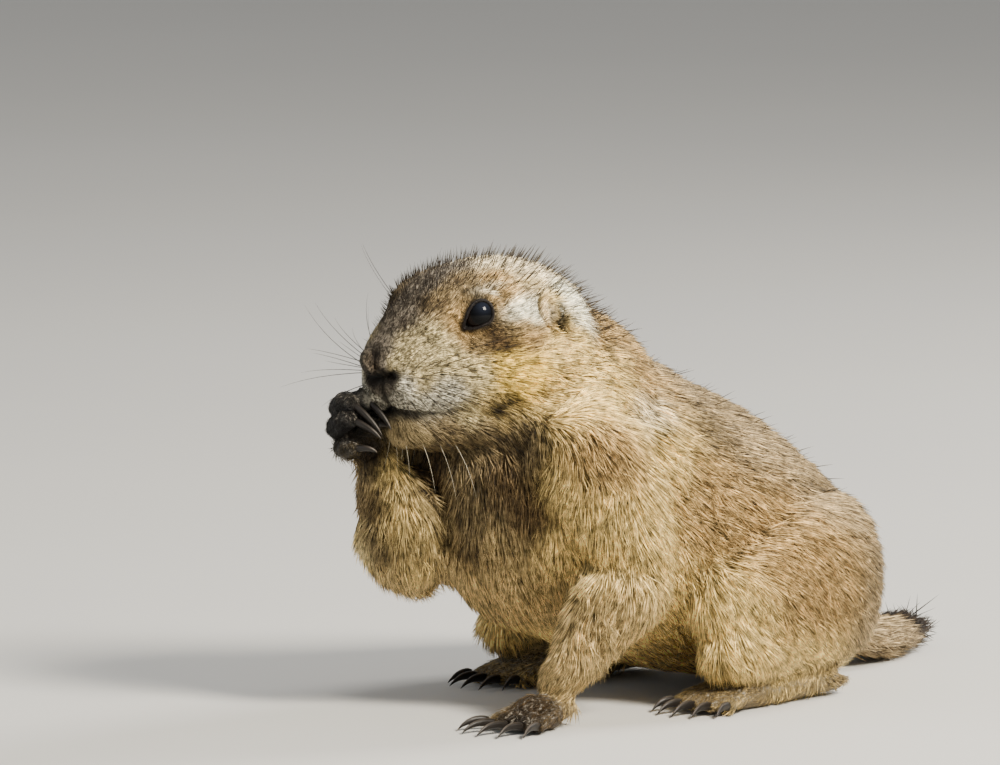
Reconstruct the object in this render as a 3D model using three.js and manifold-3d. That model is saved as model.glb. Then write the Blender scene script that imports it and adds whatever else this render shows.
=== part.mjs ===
// A black-tailed prairie dog that sits on its haunches and feeds from its raised right forepaw.
// Millimetres, +Z up. The animal faces -Y and its left side is +X.
import * as THREE from "three";
import { mergeVertices } from "three/addons/utils/BufferGeometryUtils.js";
import Module from "manifold-3d";

const wasm = await Module();
wasm.setup();

// Driving sizes of the head. Places on it are [out from the midline, behind the nose tip, above it].
const NOSE_TIP = [-6, -54.2, 102.9];
const HEAD_PITCH = 13;
const HEAD_TURN = -8;
const EYE_RADIUS = 5.7;
const EYE_PLACE = [14.0, 30.0, 4.8];
const EYE_AIM = [0.88, -0.38, 0.2];
const EAR_PLACE = [22.8, 46.6, -1.8];
// The edge of the lids: turn round the eye from the nose, upwards, and opening, in degrees.
const LID_EDGE = [
  [-67, 30],
  [-45, 41],
  [-22, 57],
  [0, 41],
  [22, 34],
  [48, 30],
  [112, 33],
  [142, 32],
  [180, 27],
  [273, 27],
];

// Driving sizes of the limbs and tail. Places are [x, y, z], and a fourth number is a radius.
const SHOULDER = [25, -3, 79];
const LEFT_ELBOW = [37, 7, 42];
const LEFT_WRIST = [31, -17, 11];
const RIGHT_ELBOW = [-21, -19, 42];
const RIGHT_WRIST = [-20.5, -36, 74.5];
const RAISED_FOREARM = [
  [-17.2, -36.6, 79.3, 0],
  [-17.8, -36.2, 77, 4.8],
  [-19.2, -35.9, 71.5, 7.4],
  [-17.3, -31.7, 61, 11.8],
  [-16.5, -29.8, 52.7, 13.8],
  [-19, -25.1, 44.3, 12],
  [-20.5, -22.8, 38.2, 7.5],
  [-21, -22.3, 35.6, 0],
];
const KNEE = [43, 38, 30];
const HEEL = [37, 84, 8];
const TOE_REACH = 56;
const FOOT_TURN = 4;
const TAIL_ROOT = [0, 112, 16];
const TAIL_TIP = [-28, 188, 5];

// What pieces that meet keep between them, and where the trunk is parted.
const GAP = 0.3;
const CHEST_END = 26;
const BELLY_END = 74;

const RIGHT_SIDE = -1;
const LEFT_SIDE = 1;
const degrees = THREE.MathUtils.degToRad;

const FUR = new THREE.MeshStandardMaterial({ color: 0xb08d5c, roughness: 0.9 });
const PALE_FUR = new THREE.MeshStandardMaterial({ color: 0xcdb68a, roughness: 0.9 });
const PAW = new THREE.MeshStandardMaterial({ color: 0x8a6f4c, roughness: 0.9 });
const TAIL_FUR = new THREE.MeshStandardMaterial({ color: 0x4a3a2a, roughness: 0.9 });
const CLAW = new THREE.MeshStandardMaterial({ color: 0x2a2522, roughness: 0.5 });
const EYE = new THREE.MeshStandardMaterial({ color: 0x0a0808, roughness: 0.08 });
const BARE_SKIN = new THREE.MeshStandardMaterial({ color: 0x2b2420, roughness: 0.6 });

// Columns of a table, smoothly between its rows. Past both ends the places are mirrored and the
// sizes change sign, so that a body whose end rows have no size closes in a round dome.
function rowAt(rows, s, places) {
  const i = Math.min(Math.floor(s), rows.length - 2);
  const t = s - i;
  const mirrored = (row) => row.map((value, column) => (column < places ? value : -value));
  const before = i > 0 ? rows[i - 1] : mirrored(rows[1]);
  const after = i + 2 < rows.length ? rows[i + 2] : mirrored(rows.at(-2));
  return rows[i].map((here, column) => {
    const [last, next, far] = [before[column], rows[i + 1][column], after[column]];
    const bend = 2 * last - 5 * here + 4 * next - far;
    const twist = 3 * here - last - 3 * next + far;
    return 0.5 * (2 * here + (next - last) * t + bend * t * t + twist * t * t * t);
  });
}

// A sphere's grid of vertices moved to place(along, angle), welded into one closed surface.
function reshapedSphere(around, along, place) {
  const geometry = new THREE.SphereGeometry(1, around, along);
  const { position, uv } = geometry.attributes;
  for (let i = 0; i < position.count; i++) {
    const pole = uv.getY(i) === 0 || uv.getY(i) === 1;
    const angle = pole ? 0 : uv.getX(i) * 2 * Math.PI;
    const point = place(1 - uv.getY(i), angle);
    position.setXYZ(i, point.x, point.y, point.z);
  }
  return welded(geometry);
}

function welded(geometry) {
  geometry.deleteAttribute("normal");
  geometry.deleteAttribute("uv");
  return mergeVertices(geometry, 1e-4);
}

function power(value, exponent) {
  return Math.sign(value) * Math.abs(value) ** exponent;
}

// A body with cross-sections that stand across Y. Each row is the section's place on Y, the height of
// its widest point, its half width, and its reach above and below that point.
function sectioned(rows, { around, along, square = 2 }) {
  return reshapedSphere(around, along, (share, angle) => {
    const [y, centre, half, up, down] = rowAt(rows, share * (rows.length - 1), 2);
    const across = power(Math.cos(angle), 2 / square);
    const height = power(Math.sin(angle), 2 / square);
    return new THREE.Vector3(half * across, y, centre + height * (height > 0 ? up : down));
  });
}

// A tube along a smooth line. Each row is [x, y, z, radius] with no radius at the two ends, and the
// section is stretched along `wide` and flattened across it.
function tube(rows, { around, along, wide = [1, 0, 0], broad = 1, flat = 1 }) {
  const last = rows.length - 1;
  const centre = (s) => new THREE.Vector3(...rowAt(rows, s, 3).slice(0, 3));
  const reference = new THREE.Vector3(...wide);
  return reshapedSphere(around, along, (share, angle) => {
    const s = share * last;
    const middle = THREE.MathUtils.clamp(s, 0.3, last - 0.3);
    const tangent = centre(middle + 0.1).sub(centre(middle - 0.1)).normalize();
    const thin = new THREE.Vector3().crossVectors(tangent, reference).normalize();
    const side = new THREE.Vector3().crossVectors(thin, tangent);
    const radius = rowAt(rows, s, 3)[3];
    return centre(s)
      .addScaledVector(side, radius * broad * Math.cos(angle))
      .addScaledVector(thin, radius * flat * Math.sin(angle));
  });
}

function ellipsoid(place, halves, around = 12, along = 8) {
  const geometry = welded(new THREE.SphereGeometry(1, around, along));
  return geometry.scale(...halves).translate(...place);
}

// Raises or sinks a surface softly round each place, on both sides of the midline.
function sculpted(geometry, bumps) {
  geometry.computeVertexNormals();
  const { position, normal } = geometry.attributes;
  const point = new THREE.Vector3();
  const out = new THREE.Vector3();
  for (let i = 0; i < position.count; i++) {
    point.fromBufferAttribute(position, i);
    out.fromBufferAttribute(normal, i);
    const mirrored = new THREE.Vector3(Math.abs(point.x), point.y, point.z);
    for (const { place, spread, height } of bumps) {
      const distance = mirrored.distanceTo(new THREE.Vector3(...place));
      point.addScaledVector(out, height * Math.exp(-((distance / spread) ** 2)));
    }
    position.setXYZ(i, point.x, point.y, point.z);
  }
  geometry.deleteAttribute("normal");
  return geometry;
}

// A geometry as a solid, moved by a matrix and swollen by `grow` all over.
function solidOf(geometry, matrix = new THREE.Matrix4(), grow = 0) {
  const moved = geometry.clone().applyMatrix4(matrix);
  moved.computeVertexNormals();
  const { position, normal } = moved.attributes;
  const triVerts = new Uint32Array(moved.index.array);
  const build = () =>
    new wasm.Manifold(
      new wasm.Mesh({ numProp: 3, vertProperties: new Float32Array(position.array), triVerts }),
    );
  let facing = 1;
  if (build().volume() < 0) {
    facing = -1;
    for (let i = 0; i < triVerts.length; i += 3) {
      [triVerts[i + 1], triVerts[i + 2]] = [triVerts[i + 2], triVerts[i + 1]];
    }
  }
  for (let i = 0; i < position.array.length; i++) {
    position.array[i] += facing * grow * normal.array[i];
  }
  return build();
}

function largestBody(solid) {
  return solid.decompose().reduce((best, body) => (body.volume() > best.volume() ? body : best));
}

function geometryOf(solid) {
  const mesh = solid.getMesh();
  const vertices = new Float32Array(mesh.numVert * 3);
  for (let i = 0; i < mesh.numVert; i++) {
    vertices.set(mesh.vertProperties.subarray(i * mesh.numProp, i * mesh.numProp + 3), i * 3);
  }
  return new THREE.BufferGeometry()
    .setAttribute("position", new THREE.BufferAttribute(vertices, 3))
    .setIndex(new THREE.BufferAttribute(mesh.triVerts, 1));
}

const mirrorX = ([x, y, z], side) => [side * x, y, z];
const shifted = ([x, y, z], dx, dy, dz) => [x + dx, y + dy, z + dz];
const ringOf = (place, radius) => [...place, radius];

// Head, in its own frame with the nose tip at the origin.
function headForm() {
  const rows = [
    [0, -4.4, 0, 0, 0],
    [1.5, -6, 5.4, 8.0, 8.6],
    [6, -8, 9.8, 13.8, 11.6],
    [12, -9, 13.4, 18.4, 13.0],
    [20, -9.6, 17.8, 23.4, 15.6],
    [29, -10, 22.4, 26.2, 19.4],
    [38, -10.4, 26.0, 26.8, 22.6],
    [48, -11, 27.0, 26.0, 23.4],
    [58, -12, 25.0, 23.0, 21.0],
    [66, -13, 18.0, 16.0, 15.0],
    [70, -13, 0, 0, 0],
  ];
  const head = sectioned(rows, { around: 32, along: 30, square: 2.1 });
  const brow = { place: [13, 23.5, 13], spread: 7, height: 2.4 };
  const socket = { place: [18, 28, 4], spread: 6, height: -1.6 };
  const cheek = { place: [25, 37, -15], spread: 12, height: 2.0 };
  const whiskerPad = { place: [9, 7, -12], spread: 6, height: 1.4 };
  const muzzleSide = { place: [14, 17, -2], spread: 6, height: -0.9 };
  const temple = { place: [23, 40, 4], spread: 8, height: -0.9 };
  const lipCleft = { place: [0, 2, -14], spread: 3.5, height: -1.0 };
  return sculpted(head, [brow, socket, cheek, whiskerPad, muzzleSide, temple, lipCleft]);
}

function jawForm() {
  const rows = [
    [2.8, -22.5, 0, 0, 0],
    [4.5, -22.8, 5.4, 4.0, 4.4],
    [9, -23.6, 9.2, 5.5, 6.2],
    [17, -25, 13.6, 6.5, 7.2],
    [27, -27, 17.4, 7, 7.4],
    [39, -28.5, 18, 7, 7],
    [50, -29, 14, 5, 6],
    [54, -29, 0, 0, 0],
  ];
  return sectioned(rows, { around: 14, along: 12, square: 2.1 });
}

// The bare tip of the nose, with a comma of a nostril cut into each side.
function noseSolid(frame, grow) {
  const tip = solidOf(ellipsoid([0, 2.1, -2.0], [4.3, 3.0, 3.9], 12, 9), frame, grow);
  if (grow) return tip;
  const cutters = [LEFT_SIDE, RIGHT_SIDE].map((side) => {
    const rows = [
      [1.0, -1.3, -3.6, 0],
      [1.3, -1.1, -3.5, 0.55],
      [2.6, -0.1, -3.4, 0.85],
      [3.9, 1.5, -2.6, 0.95],
      [4.2, 2.5, -1.4, 0.7],
      [4.1, 2.9, -0.9, 0],
    ];
    const nostril = tube(
      rows.map(([x, ...rest]) => [side * x, ...rest]),
      { around: 5, along: 7, wide: [0, 0, 1] },
    );
    return solidOf(nostril, frame);
  });
  return cutters.reduce((body, cutter) => body.subtract(cutter), tip);
}

function eyeForm(side) {
  return ellipsoid(mirrorX(EYE_PLACE, side), [EYE_RADIUS, EYE_RADIUS, EYE_RADIUS], 14, 10);
}

// How far the lids are open at a turn round the eye, straight between the rows of the table.
function lidOpening(turn) {
  const past = LID_EDGE.findIndex(([at]) => at > turn);
  const next = LID_EDGE[Math.max(past, 0)];
  const before = LID_EDGE.at(past > 0 ? past - 1 : -1);
  const span = (next[0] - before[0] + 360) % 360;
  const share = ((turn - before[0] + 360) % 360) / span;
  return before[1] + share * (next[1] - before[1]);
}

// The lids: a band on the eyeball, drawn out to a point towards the nose.
function lidForm(side) {
  const geometry = new THREE.TorusGeometry(1, 0.3, 4, 16);
  const { position, uv } = geometry.attributes;
  const aim = new THREE.Vector3(...mirrorX(EYE_AIM, side)).normalize();
  const forward = new THREE.Vector3(0, -1, 0).addScaledVector(aim, aim.y).normalize();
  const up = new THREE.Vector3().crossVectors(forward, aim).multiplyScalar(side);
  const centre = new THREE.Vector3(...mirrorX(EYE_PLACE, side));
  const [socket, closing, pointed, cornerAt] = [61, 8, 15, -22];
  for (let i = 0; i < position.count; i++) {
    const turn = 360 * uv.getX(i);
    const round = degrees(turn);
    const through = uv.getY(i) * 2 * Math.PI;
    const corner = Math.max(0, Math.cos(degrees(turn - cornerAt))) ** 6;
    const inner = lidOpening(turn > LID_EDGE.at(-1)[0] ? turn - 360 : turn);
    const outer = socket + pointed * corner - closing * Math.abs(Math.sin(round));
    const reach = EYE_RADIUS + 0.35 + 0.6 * Math.cos(through);
    const lean = degrees(inner + ((outer - inner) / 2) * (1 + Math.sin(through)));
    const point = centre
      .clone()
      .addScaledVector(aim, reach * Math.cos(lean))
      .addScaledVector(forward, reach * Math.sin(lean) * Math.cos(round))
      .addScaledVector(up, reach * Math.sin(lean) * Math.sin(round));
    position.setXYZ(i, point.x, point.y, point.z);
  }
  return welded(geometry);
}

// A low round ear whose cup opens outwards and a little forwards.
function earSolid(side, frame, grow) {
  const turned = new THREE.Matrix4()
    .makeTranslation(...mirrorX(EAR_PLACE, side))
    .multiply(new THREE.Matrix4().makeRotationZ(side * degrees(24)))
    .multiply(new THREE.Matrix4().makeRotationX(degrees(-14)));
  const matrix = frame.clone().multiply(turned);
  const shell = solidOf(ellipsoid([0, 0, 0], [3.6, 4.1, 5.7], 12, 9), matrix, grow);
  if (grow) return shell;
  const cup = ellipsoid([side * 2.8, -1.5, -1.2], [3.4, 3.0, 4.1], 10, 7);
  return shell.subtract(solidOf(cup, matrix));
}

// Trunk, whole from chest to rump; thin cuts part it.
function trunkForm() {
  const rows = [
    [-28, 65, 0, 0, 0],
    [-25.5, 65, 13, 13, 15],
    [-18, 64, 24, 25, 28],
    [-4, 61, 34, 38, 36],
    [20, 57, 41, 51, 41],
    [46, 48, 46, 47, 40],
    [72, 40, 48, 43, 37],
    [94, 33, 45, 34, 33.5],
    [110, 27, 35, 21, 27.5],
    [119, 23, 20, 12, 17],
    [123, 21, 0, 0, 0],
  ];
  return sectioned(rows, { around: 26, along: 22, square: 2.1 });
}

function neckForm() {
  const rows = [
    [-5, -27, 91, 0],
    [-4, -24, 90.6, 16],
    [-3, -15, 89.4, 26.5],
    [-2, -3, 87.2, 31.5],
    [0, 9, 83, 32.5],
    [0, 20, 77, 29.5],
    [0, 28, 72, 17],
    [0, 31, 70, 0],
  ];
  return tube(rows, { around: 22, along: 13, broad: 1.04 });
}

// All that lies between two places on Y.
function slabSolid(from, to) {
  const [width, height] = [200, 400];
  const slab = new THREE.BoxGeometry(width, to - from, height);
  return solidOf(welded(slab.translate(0, (from + to) / 2, 0)));
}

function upperArmForm(side, elbow) {
  const shoulder = mirrorX(SHOULDER, side);
  const middle = shoulder.map((value, axis) => (value + elbow[axis]) / 2);
  const rows = [
    ringOf(shifted(shoulder, -side * 2, -2, 16), 0),
    ringOf(shifted(shoulder, -side * 1, -1, 11), 10),
    ringOf(shoulder, 16.5),
    ringOf(shifted(middle, side * 3, 1, 0), 14.5),
    ringOf(shifted(elbow, side * 0.5, 0, 4), 11.5),
    ringOf(shifted(elbow, side * 0.5, 2, -5), 8),
    ringOf(shifted(elbow, side * 0.5, 3, -9), 0),
  ];
  return tube(rows, { around: 13, along: 12, wide: [0, 1, 0], broad: 1.12 });
}

function plantedForearmForm() {
  const along = (share) =>
    LEFT_ELBOW.map((value, axis) => value + share * (LEFT_WRIST[axis] - value));
  const rows = [
    ringOf(along(-0.28), 0),
    ringOf(along(-0.2), 8.5),
    ringOf(along(0.1), 13),
    ringOf(along(0.45), 11),
    ringOf(along(0.8), 7.2),
    ringOf(along(1.02), 5.6),
    ringOf(along(1.1), 0),
  ];
  return tube(rows, { around: 13, along: 11, wide: [1, 0.4, 0] });
}

function raisedForearmForm() {
  return tube(RAISED_FOREARM, { around: 13, along: 12, wide: [1, 0.4, 0] });
}

// Raised right hand. Its digits are given as seen from the front left, in a frame turned to face
// there: [across to the right, away, up] from the wrist, for knuckle, bend, tip and claw point.
const RAISED_DIGITS = [
  [[-4.2, -7.2, 11.1], [-6.0, -11.8, 15.1], [-2.3, -17.8, 15.5], [4.3, -21.6, 8.1]],
  [[-6.1, -6.5, 8.5], [-10.5, -10.9, 13.9], [-7.0, -18.3, 15.3], [1.9, -22.8, 6.5]],
  [[-6.4, -5.8, 5.2], [-11.3, -11.5, 8.1], [-7.0, -18.8, 10.6], [1.6, -22.8, 5.7]],
  [[-5.6, -5.2, 1.2], [-9.7, -11.2, 1.7], [-6.2, -18.1, 2.5], [0.4, -21.3, 1.7]],
  [[-1.1, -9.7, 6.6], [-1.6, -12.4, 9.0], [0.4, -15.9, 9.3], [3.5, -18.1, 7.8]],
];
const DIGIT_RADII = [2.4, 2.7, 2.7, 2.6, 1.8];
const raisedFrame = new THREE.Matrix4()
  .makeTranslation(...RIGHT_WRIST)
  .multiply(new THREE.Matrix4().makeRotationZ(degrees(45)));

function digitForm([knuckle, bend, tip], radius) {
  const past = tip.map((value, axis) => value + 0.22 * (value - bend[axis]));
  const rows = [
    ringOf(knuckle.map((value) => value * 0.55), 0),
    ringOf(knuckle.map((value) => value * 0.7), radius * 0.9),
    ringOf(knuckle, radius * 1.05),
    ringOf(bend, radius),
    ringOf(tip, radius * 0.85),
    ringOf(past, 0),
  ];
  return tube(rows, { around: 7, along: 7, wide: [0.3, 1, 0.2] });
}

// A claw from the tip of a digit to its point, arched over by `arch` along `lift`.
function clawForm(tip, point, radius, arch, lift) {
  const along = (share, rise) =>
    tip.map((value, axis) => value + share * (point[axis] - value) + rise * arch * lift[axis]);
  const rows = [
    ringOf(along(-0.16, 0), 0),
    ringOf(along(-0.1, 0), radius * 0.8),
    ringOf(along(0.12, 0.6), radius),
    ringOf(along(0.5, 1), radius * 0.74),
    ringOf(along(0.82, 0.55), radius * 0.4),
    ringOf(along(1, 0), 0),
  ];
  return tube(rows, { around: 5, along: 6, wide: [0.6, 0.2, 0.75], broad: 0.85 });
}

function raisedHandSolid(grow) {
  const palm = tube(
    [
      [0.4, 2.3, -3.9, 0],
      [0, 1.2, -2.4, 4.8],
      [-1.8, -2.1, 2.1, 6.6],
      [-3.4, -5.7, 6.3, 6.6],
      [-5.0, -7.3, 9.7, 4.6],
      [-5.5, -8.2, 11.5, 0],
    ],
    { around: 10, along: 8, wide: [0.9, 0.3, 0], broad: 1.0, flat: 0.75 },
  );
  const pieces = [palm, ...RAISED_DIGITS.map((digit, i) => digitForm(digit, DIGIT_RADII[i]))];
  return pieces
    .map((piece) => solidOf(piece, raisedFrame, grow))
    .reduce((body, piece) => body.add(piece));
}

// Lengths of the digits of a paw, and of their claws, as shares of the middle one's.
const DIGIT_SHARES = [0.86, 0.97, 1, 0.95, 0.8];
const CLAW_SHARES = [0.75, 0.95, 1, 0.95, 0.75];

// Digits of a paw set flat on the floor, fanned out in front of it. The paw's frame has its wrist or
// heel at the origin and looks along -Y.
function pawDigits({ reach, spread, fan, radius, back }) {
  return DIGIT_SHARES.map((share, i) => {
    const turn = degrees(fan) * (i - 2);
    const root = [(i - 2) * spread, -back, radius * 1.9];
    const place = (distance, height) => [
      root[0] + Math.sin(turn) * distance,
      root[1] - Math.cos(turn) * distance,
      height,
    ];
    const length = (reach - back) * share;
    return { root, bend: place(length * 0.5, radius * 1.6), tip: place(length, radius * 0.86) };
  });
}

// `back` is where the digits leave the sole and `reach` where the longest one ends. `heel`, `sole`
// and `radius` are half thicknesses, `spread` is between two digits and `fan` is their turn.
const FORE_PAW = { heel: 5.6, sole: 7.2, back: 6, reach: 18, spread: 3.2, fan: 9, radius: 2.5, claw: 9.5 };
const HIND_PAW = { ...FORE_PAW, heel: 6.4, back: 38, reach: TOE_REACH, fan: 6, radius: 2.8, claw: 7.5 };

function pawSolid(paw, frame, grow) {
  const sole = tube(
    [
      [0, 8, 5.2, 0],
      [0, 6, 5.2, paw.heel * 0.8],
      [0, -1, 5.2, paw.heel],
      [0, -paw.back * 0.5, 4.6, paw.sole * 0.9],
      [0, -paw.back, 4.4, paw.sole],
      [0, -paw.back - 5, 4.0, paw.sole * 0.8],
      [0, -paw.back - 8, 3.6, 0],
    ],
    { around: 12, along: 8, broad: 1.12, flat: 0.8 },
  );
  const digits = pawDigits(paw).map(({ root, bend, tip }) => {
    const ahead = tip.map((value, axis) => value + 0.2 * (value - bend[axis]));
    const rows = [
      ringOf(shifted(root, 0, 4, 0), 0),
      ringOf(shifted(root, 0, 2, 0), paw.radius * 0.9),
      ringOf(root, paw.radius * 1.05),
      ringOf(bend, paw.radius),
      ringOf(tip, paw.radius * 0.88),
      ringOf([ahead[0], ahead[1], tip[2]], 0),
    ];
    return tube(rows, { around: 6, along: 6 });
  });
  return [sole, ...digits]
    .map((piece) => solidOf(piece, frame, grow))
    .reduce((body, piece) => body.add(piece));
}

function pawClawForm(paw, i) {
  const { bend, tip } = pawDigits(paw)[i];
  const heading = new THREE.Vector3(tip[0] - bend[0], tip[1] - bend[1], 0).normalize();
  const length = paw.claw * CLAW_SHARES[i] + paw.radius;
  const point = [tip[0] + heading.x * length, tip[1] + heading.y * length, 0.5];
  return clawForm(tip, point, 1.15, 1.9, [0, 0, 1]);
}

function thighForm(side) {
  const rows = [
    [side * 28, 107, 32, 0],
    [side * 28, 103, 32, 14],
    [side * 34, 87, 33, 24],
    [side * 37, 66, 33, 26],
    [side * 40, KNEE[1] + 8, 31, 18.5],
    [side * 41, KNEE[1] - 6, 29, 10],
    [side * 41, KNEE[1] - 9.5, 28, 0],
  ];
  return tube(rows, { around: 16, along: 13, wide: [0, 0, 1], broad: 1.12, flat: 0.72 });
}

function shankForm(side) {
  const [knee, heel] = [mirrorX(KNEE, side), mirrorX(HEEL, side)];
  const rows = [
    ringOf(shifted(knee, 0, -6, -8), 0),
    ringOf(shifted(knee, 0, -4, -9), 8),
    ringOf(shifted(knee, 0, 8, -13), 11),
    ringOf(shifted(heel, side * 2, -18, 8), 10),
    ringOf(shifted(heel, 0, -2, 4), 7.5),
    ringOf(shifted(heel, 0, 7, 1), 6),
    ringOf(shifted(heel, 0, 10, 1), 0),
  ];
  return tube(rows, { around: 12, along: 10, wide: [1, 0, 0] });
}

// The tail lies on the floor and bends to the right; it is flatter than it is wide.
function tailForm() {
  const line = (share) => [
    THREE.MathUtils.lerp(TAIL_ROOT[0], TAIL_TIP[0], share ** 1.5) + 5 * Math.sin(Math.PI * share),
    THREE.MathUtils.lerp(TAIL_ROOT[1], TAIL_TIP[1], share),
    THREE.MathUtils.lerp(TAIL_TIP[2], TAIL_ROOT[2], (1 - share) ** 3),
  ];
  const radii = [0, 8, 10, 10.5, 10.5, 9, 5, 0];
  const shares = [0, 0.05, 0.25, 0.45, 0.65, 0.83, 0.95, 1];
  const rows = shares.map((share, i) => ringOf(line(share), radii[i]));
  return tube(rows, { around: 12, along: 18, broad: 1.05, flat: 0.62 });
}

const model = new THREE.Group();
model.name = "prairie_dog";
const headGroup = new THREE.Group();
headGroup.name = "head_and_its_parts";
headGroup.position.set(...NOSE_TIP);
headGroup.rotation.set(degrees(HEAD_PITCH), 0, degrees(HEAD_TURN), "ZXY");
model.add(headGroup);
model.updateMatrixWorld(true);
const headFrame = headGroup.matrixWorld;

// What stands already, swollen by the gap. Each new piece is cut clear of it, so that an earlier
// piece keeps its whole form and a later one meets it face to face.
const standing = [
  solidOf(welded(new THREE.BoxGeometry(600, 600, 100).translate(0, 0, -50))),
];

function boxesMeet(one, other) {
  const [a, b] = [one.boundingBox(), other.boundingBox()];
  return [0, 1, 2].every((axis) => a.min[axis] < b.max[axis] && b.min[axis] < a.max[axis]);
}

function cleared(solid) {
  const near = standing.filter((other) => boxesMeet(solid, other));
  return near.reduce((body, other) => body.subtract(other), solid);
}

function place(name, group, material, solid) {
  const geometry = geometryOf(largestBody(solid));
  geometry.applyMatrix4(group.matrixWorld.clone().invert());
  const mesh = new THREE.Mesh(geometry, material);
  mesh.name = name;
  group.add(mesh);
}

// Adds one node. `form` gives its solid, swollen by what it is called with.
function add(name, group, material, form) {
  place(name, group, material, cleared(form(0)));
  standing.push(form(GAP));
}

// Adds a long piece as several nodes, parted across Y.
function addParted(parts, group, form) {
  const whole = cleared(form(0));
  for (const [name, material, from, to] of parts) {
    place(name, group, material, whole.intersect(slabSolid(from + GAP / 2, to - GAP / 2)));
  }
  standing.push(form(GAP));
}

const inHead = (geometry) => (grow) => solidOf(geometry, headFrame, grow);
const inBody = (geometry) => (grow) => solidOf(geometry, undefined, grow);
const sides = [
  ["left", LEFT_SIDE],
  ["right", RIGHT_SIDE],
];

for (const [word, side] of sides) {
  add(`eye_${word}`, headGroup, EYE, inHead(eyeForm(side)));
  add(`eyelids_${word}`, headGroup, BARE_SKIN, inHead(lidForm(side)));
  add(`ear_${word}`, headGroup, FUR, (grow) => earSolid(side, headFrame, grow));
}
add("nose", headGroup, BARE_SKIN, (grow) => noseSolid(headFrame, grow));
add("head", headGroup, FUR, inHead(headForm()));
add("lower_jaw", headGroup, PALE_FUR, inHead(jawForm()));

const [FRONT_END, REAR_END] = [-100, 200];
const trunkParts = [
  ["chest", FUR, FRONT_END, CHEST_END],
  ["belly", FUR, CHEST_END, BELLY_END],
  ["rump", FUR, BELLY_END, REAR_END],
];
addParted(trunkParts, model, inBody(trunkForm()));
add("neck", model, FUR, inBody(neckForm()));

add("upper_arm_left", model, FUR, inBody(upperArmForm(LEFT_SIDE, LEFT_ELBOW)));
add("forearm_left", model, PALE_FUR, inBody(plantedForearmForm()));
add("upper_arm_right", model, FUR, inBody(upperArmForm(RIGHT_SIDE, RIGHT_ELBOW)));
add("forearm_right", model, PALE_FUR, inBody(raisedForearmForm()));

add("hand_right", model, PAW, raisedHandSolid);
RAISED_DIGITS.forEach(([, , tip, point], i) => {
  const claw = clawForm(tip, point, DIGIT_RADII[i] * 0.42, 1.4, [0.4, -0.7, 0.5]);
  add(`claw_hand_right_${i + 1}`, model, CLAW, (grow) => solidOf(claw, raisedFrame, grow));
});

function addPaw(name, paw, frame) {
  add(name, model, PAW, (grow) => pawSolid(paw, frame, grow));
  for (let i = 0; i < 5; i++) {
    const claw = pawClawForm(paw, i);
    add(`claw_${name}_${i + 1}`, model, CLAW, (grow) => solidOf(claw, frame, grow));
  }
}

const [wristX, wristY] = LEFT_WRIST;
addPaw("hand_left", FORE_PAW, new THREE.Matrix4().makeTranslation(wristX, wristY - 1, 0));
for (const [word, side] of sides) {
  const outwards = new THREE.Matrix4().makeRotationZ(side * degrees(FOOT_TURN));
  const frame = new THREE.Matrix4().makeTranslation(side * HEEL[0], HEEL[1], 0).multiply(outwards);
  add(`thigh_${word}`, model, FUR, inBody(thighForm(side)));
  add(`shank_${word}`, model, PALE_FUR, inBody(shankForm(side)));
  addPaw(`foot_${word}`, HIND_PAW, frame);
}

const tailParting = THREE.MathUtils.lerp(TAIL_ROOT[1], TAIL_TIP[1], 0.6);
const tailParts = [
  ["tail_base", FUR, FRONT_END, tailParting],
  ["tail_tip", TAIL_FUR, tailParting, REAR_END],
];
addParted(tailParts, model, inBody(tailForm()));

// The origin goes to the middle of the floor that the animal covers.
const box = new THREE.Box3().setFromObject(model, true);
const middle = box.getCenter(new THREE.Vector3());
model.position.set(-middle.x, -middle.y, -box.min.z);

export default model;
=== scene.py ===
import math
from typing import NamedTuple

import bmesh
import bpy
import numpy as np
from bpy.props import FloatProperty, FloatVectorProperty, IntProperty, PointerProperty
from mathutils import Matrix, Vector
from mathutils.bvhtree import BVHTree
from mathutils.kdtree import KDTree


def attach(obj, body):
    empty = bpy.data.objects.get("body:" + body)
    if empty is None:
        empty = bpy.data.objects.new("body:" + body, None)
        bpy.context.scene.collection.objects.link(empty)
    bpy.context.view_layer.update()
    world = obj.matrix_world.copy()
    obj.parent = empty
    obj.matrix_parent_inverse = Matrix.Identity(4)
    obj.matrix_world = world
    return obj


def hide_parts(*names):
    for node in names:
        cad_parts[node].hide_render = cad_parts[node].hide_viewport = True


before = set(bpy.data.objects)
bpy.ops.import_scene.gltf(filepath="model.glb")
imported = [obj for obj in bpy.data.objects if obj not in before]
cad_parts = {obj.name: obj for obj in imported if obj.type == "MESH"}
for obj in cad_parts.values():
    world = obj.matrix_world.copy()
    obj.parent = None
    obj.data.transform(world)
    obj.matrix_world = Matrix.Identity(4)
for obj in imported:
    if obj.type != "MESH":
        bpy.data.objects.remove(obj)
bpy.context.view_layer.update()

bl_info = {
    "name": "Prairie Dog Coat and Face",
    "version": (1, 0, 0),
    "blender": (4, 5, 0),
    "location": "View3D > Sidebar > Prairie Dog",
    "description": "Gives a prairie dog of plain solids its skin, coat, face, claws and whiskers",
    "category": "Object",
}

MM = 0.001

# The middle of the floor that the animal covers, from the point under its shoulders, in mm.
# Places in the tables below are in mm from that point, with the animal facing -Y.
FLOOR_MIDDLE = Vector((0.0, 66.141, 0.0))

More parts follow.
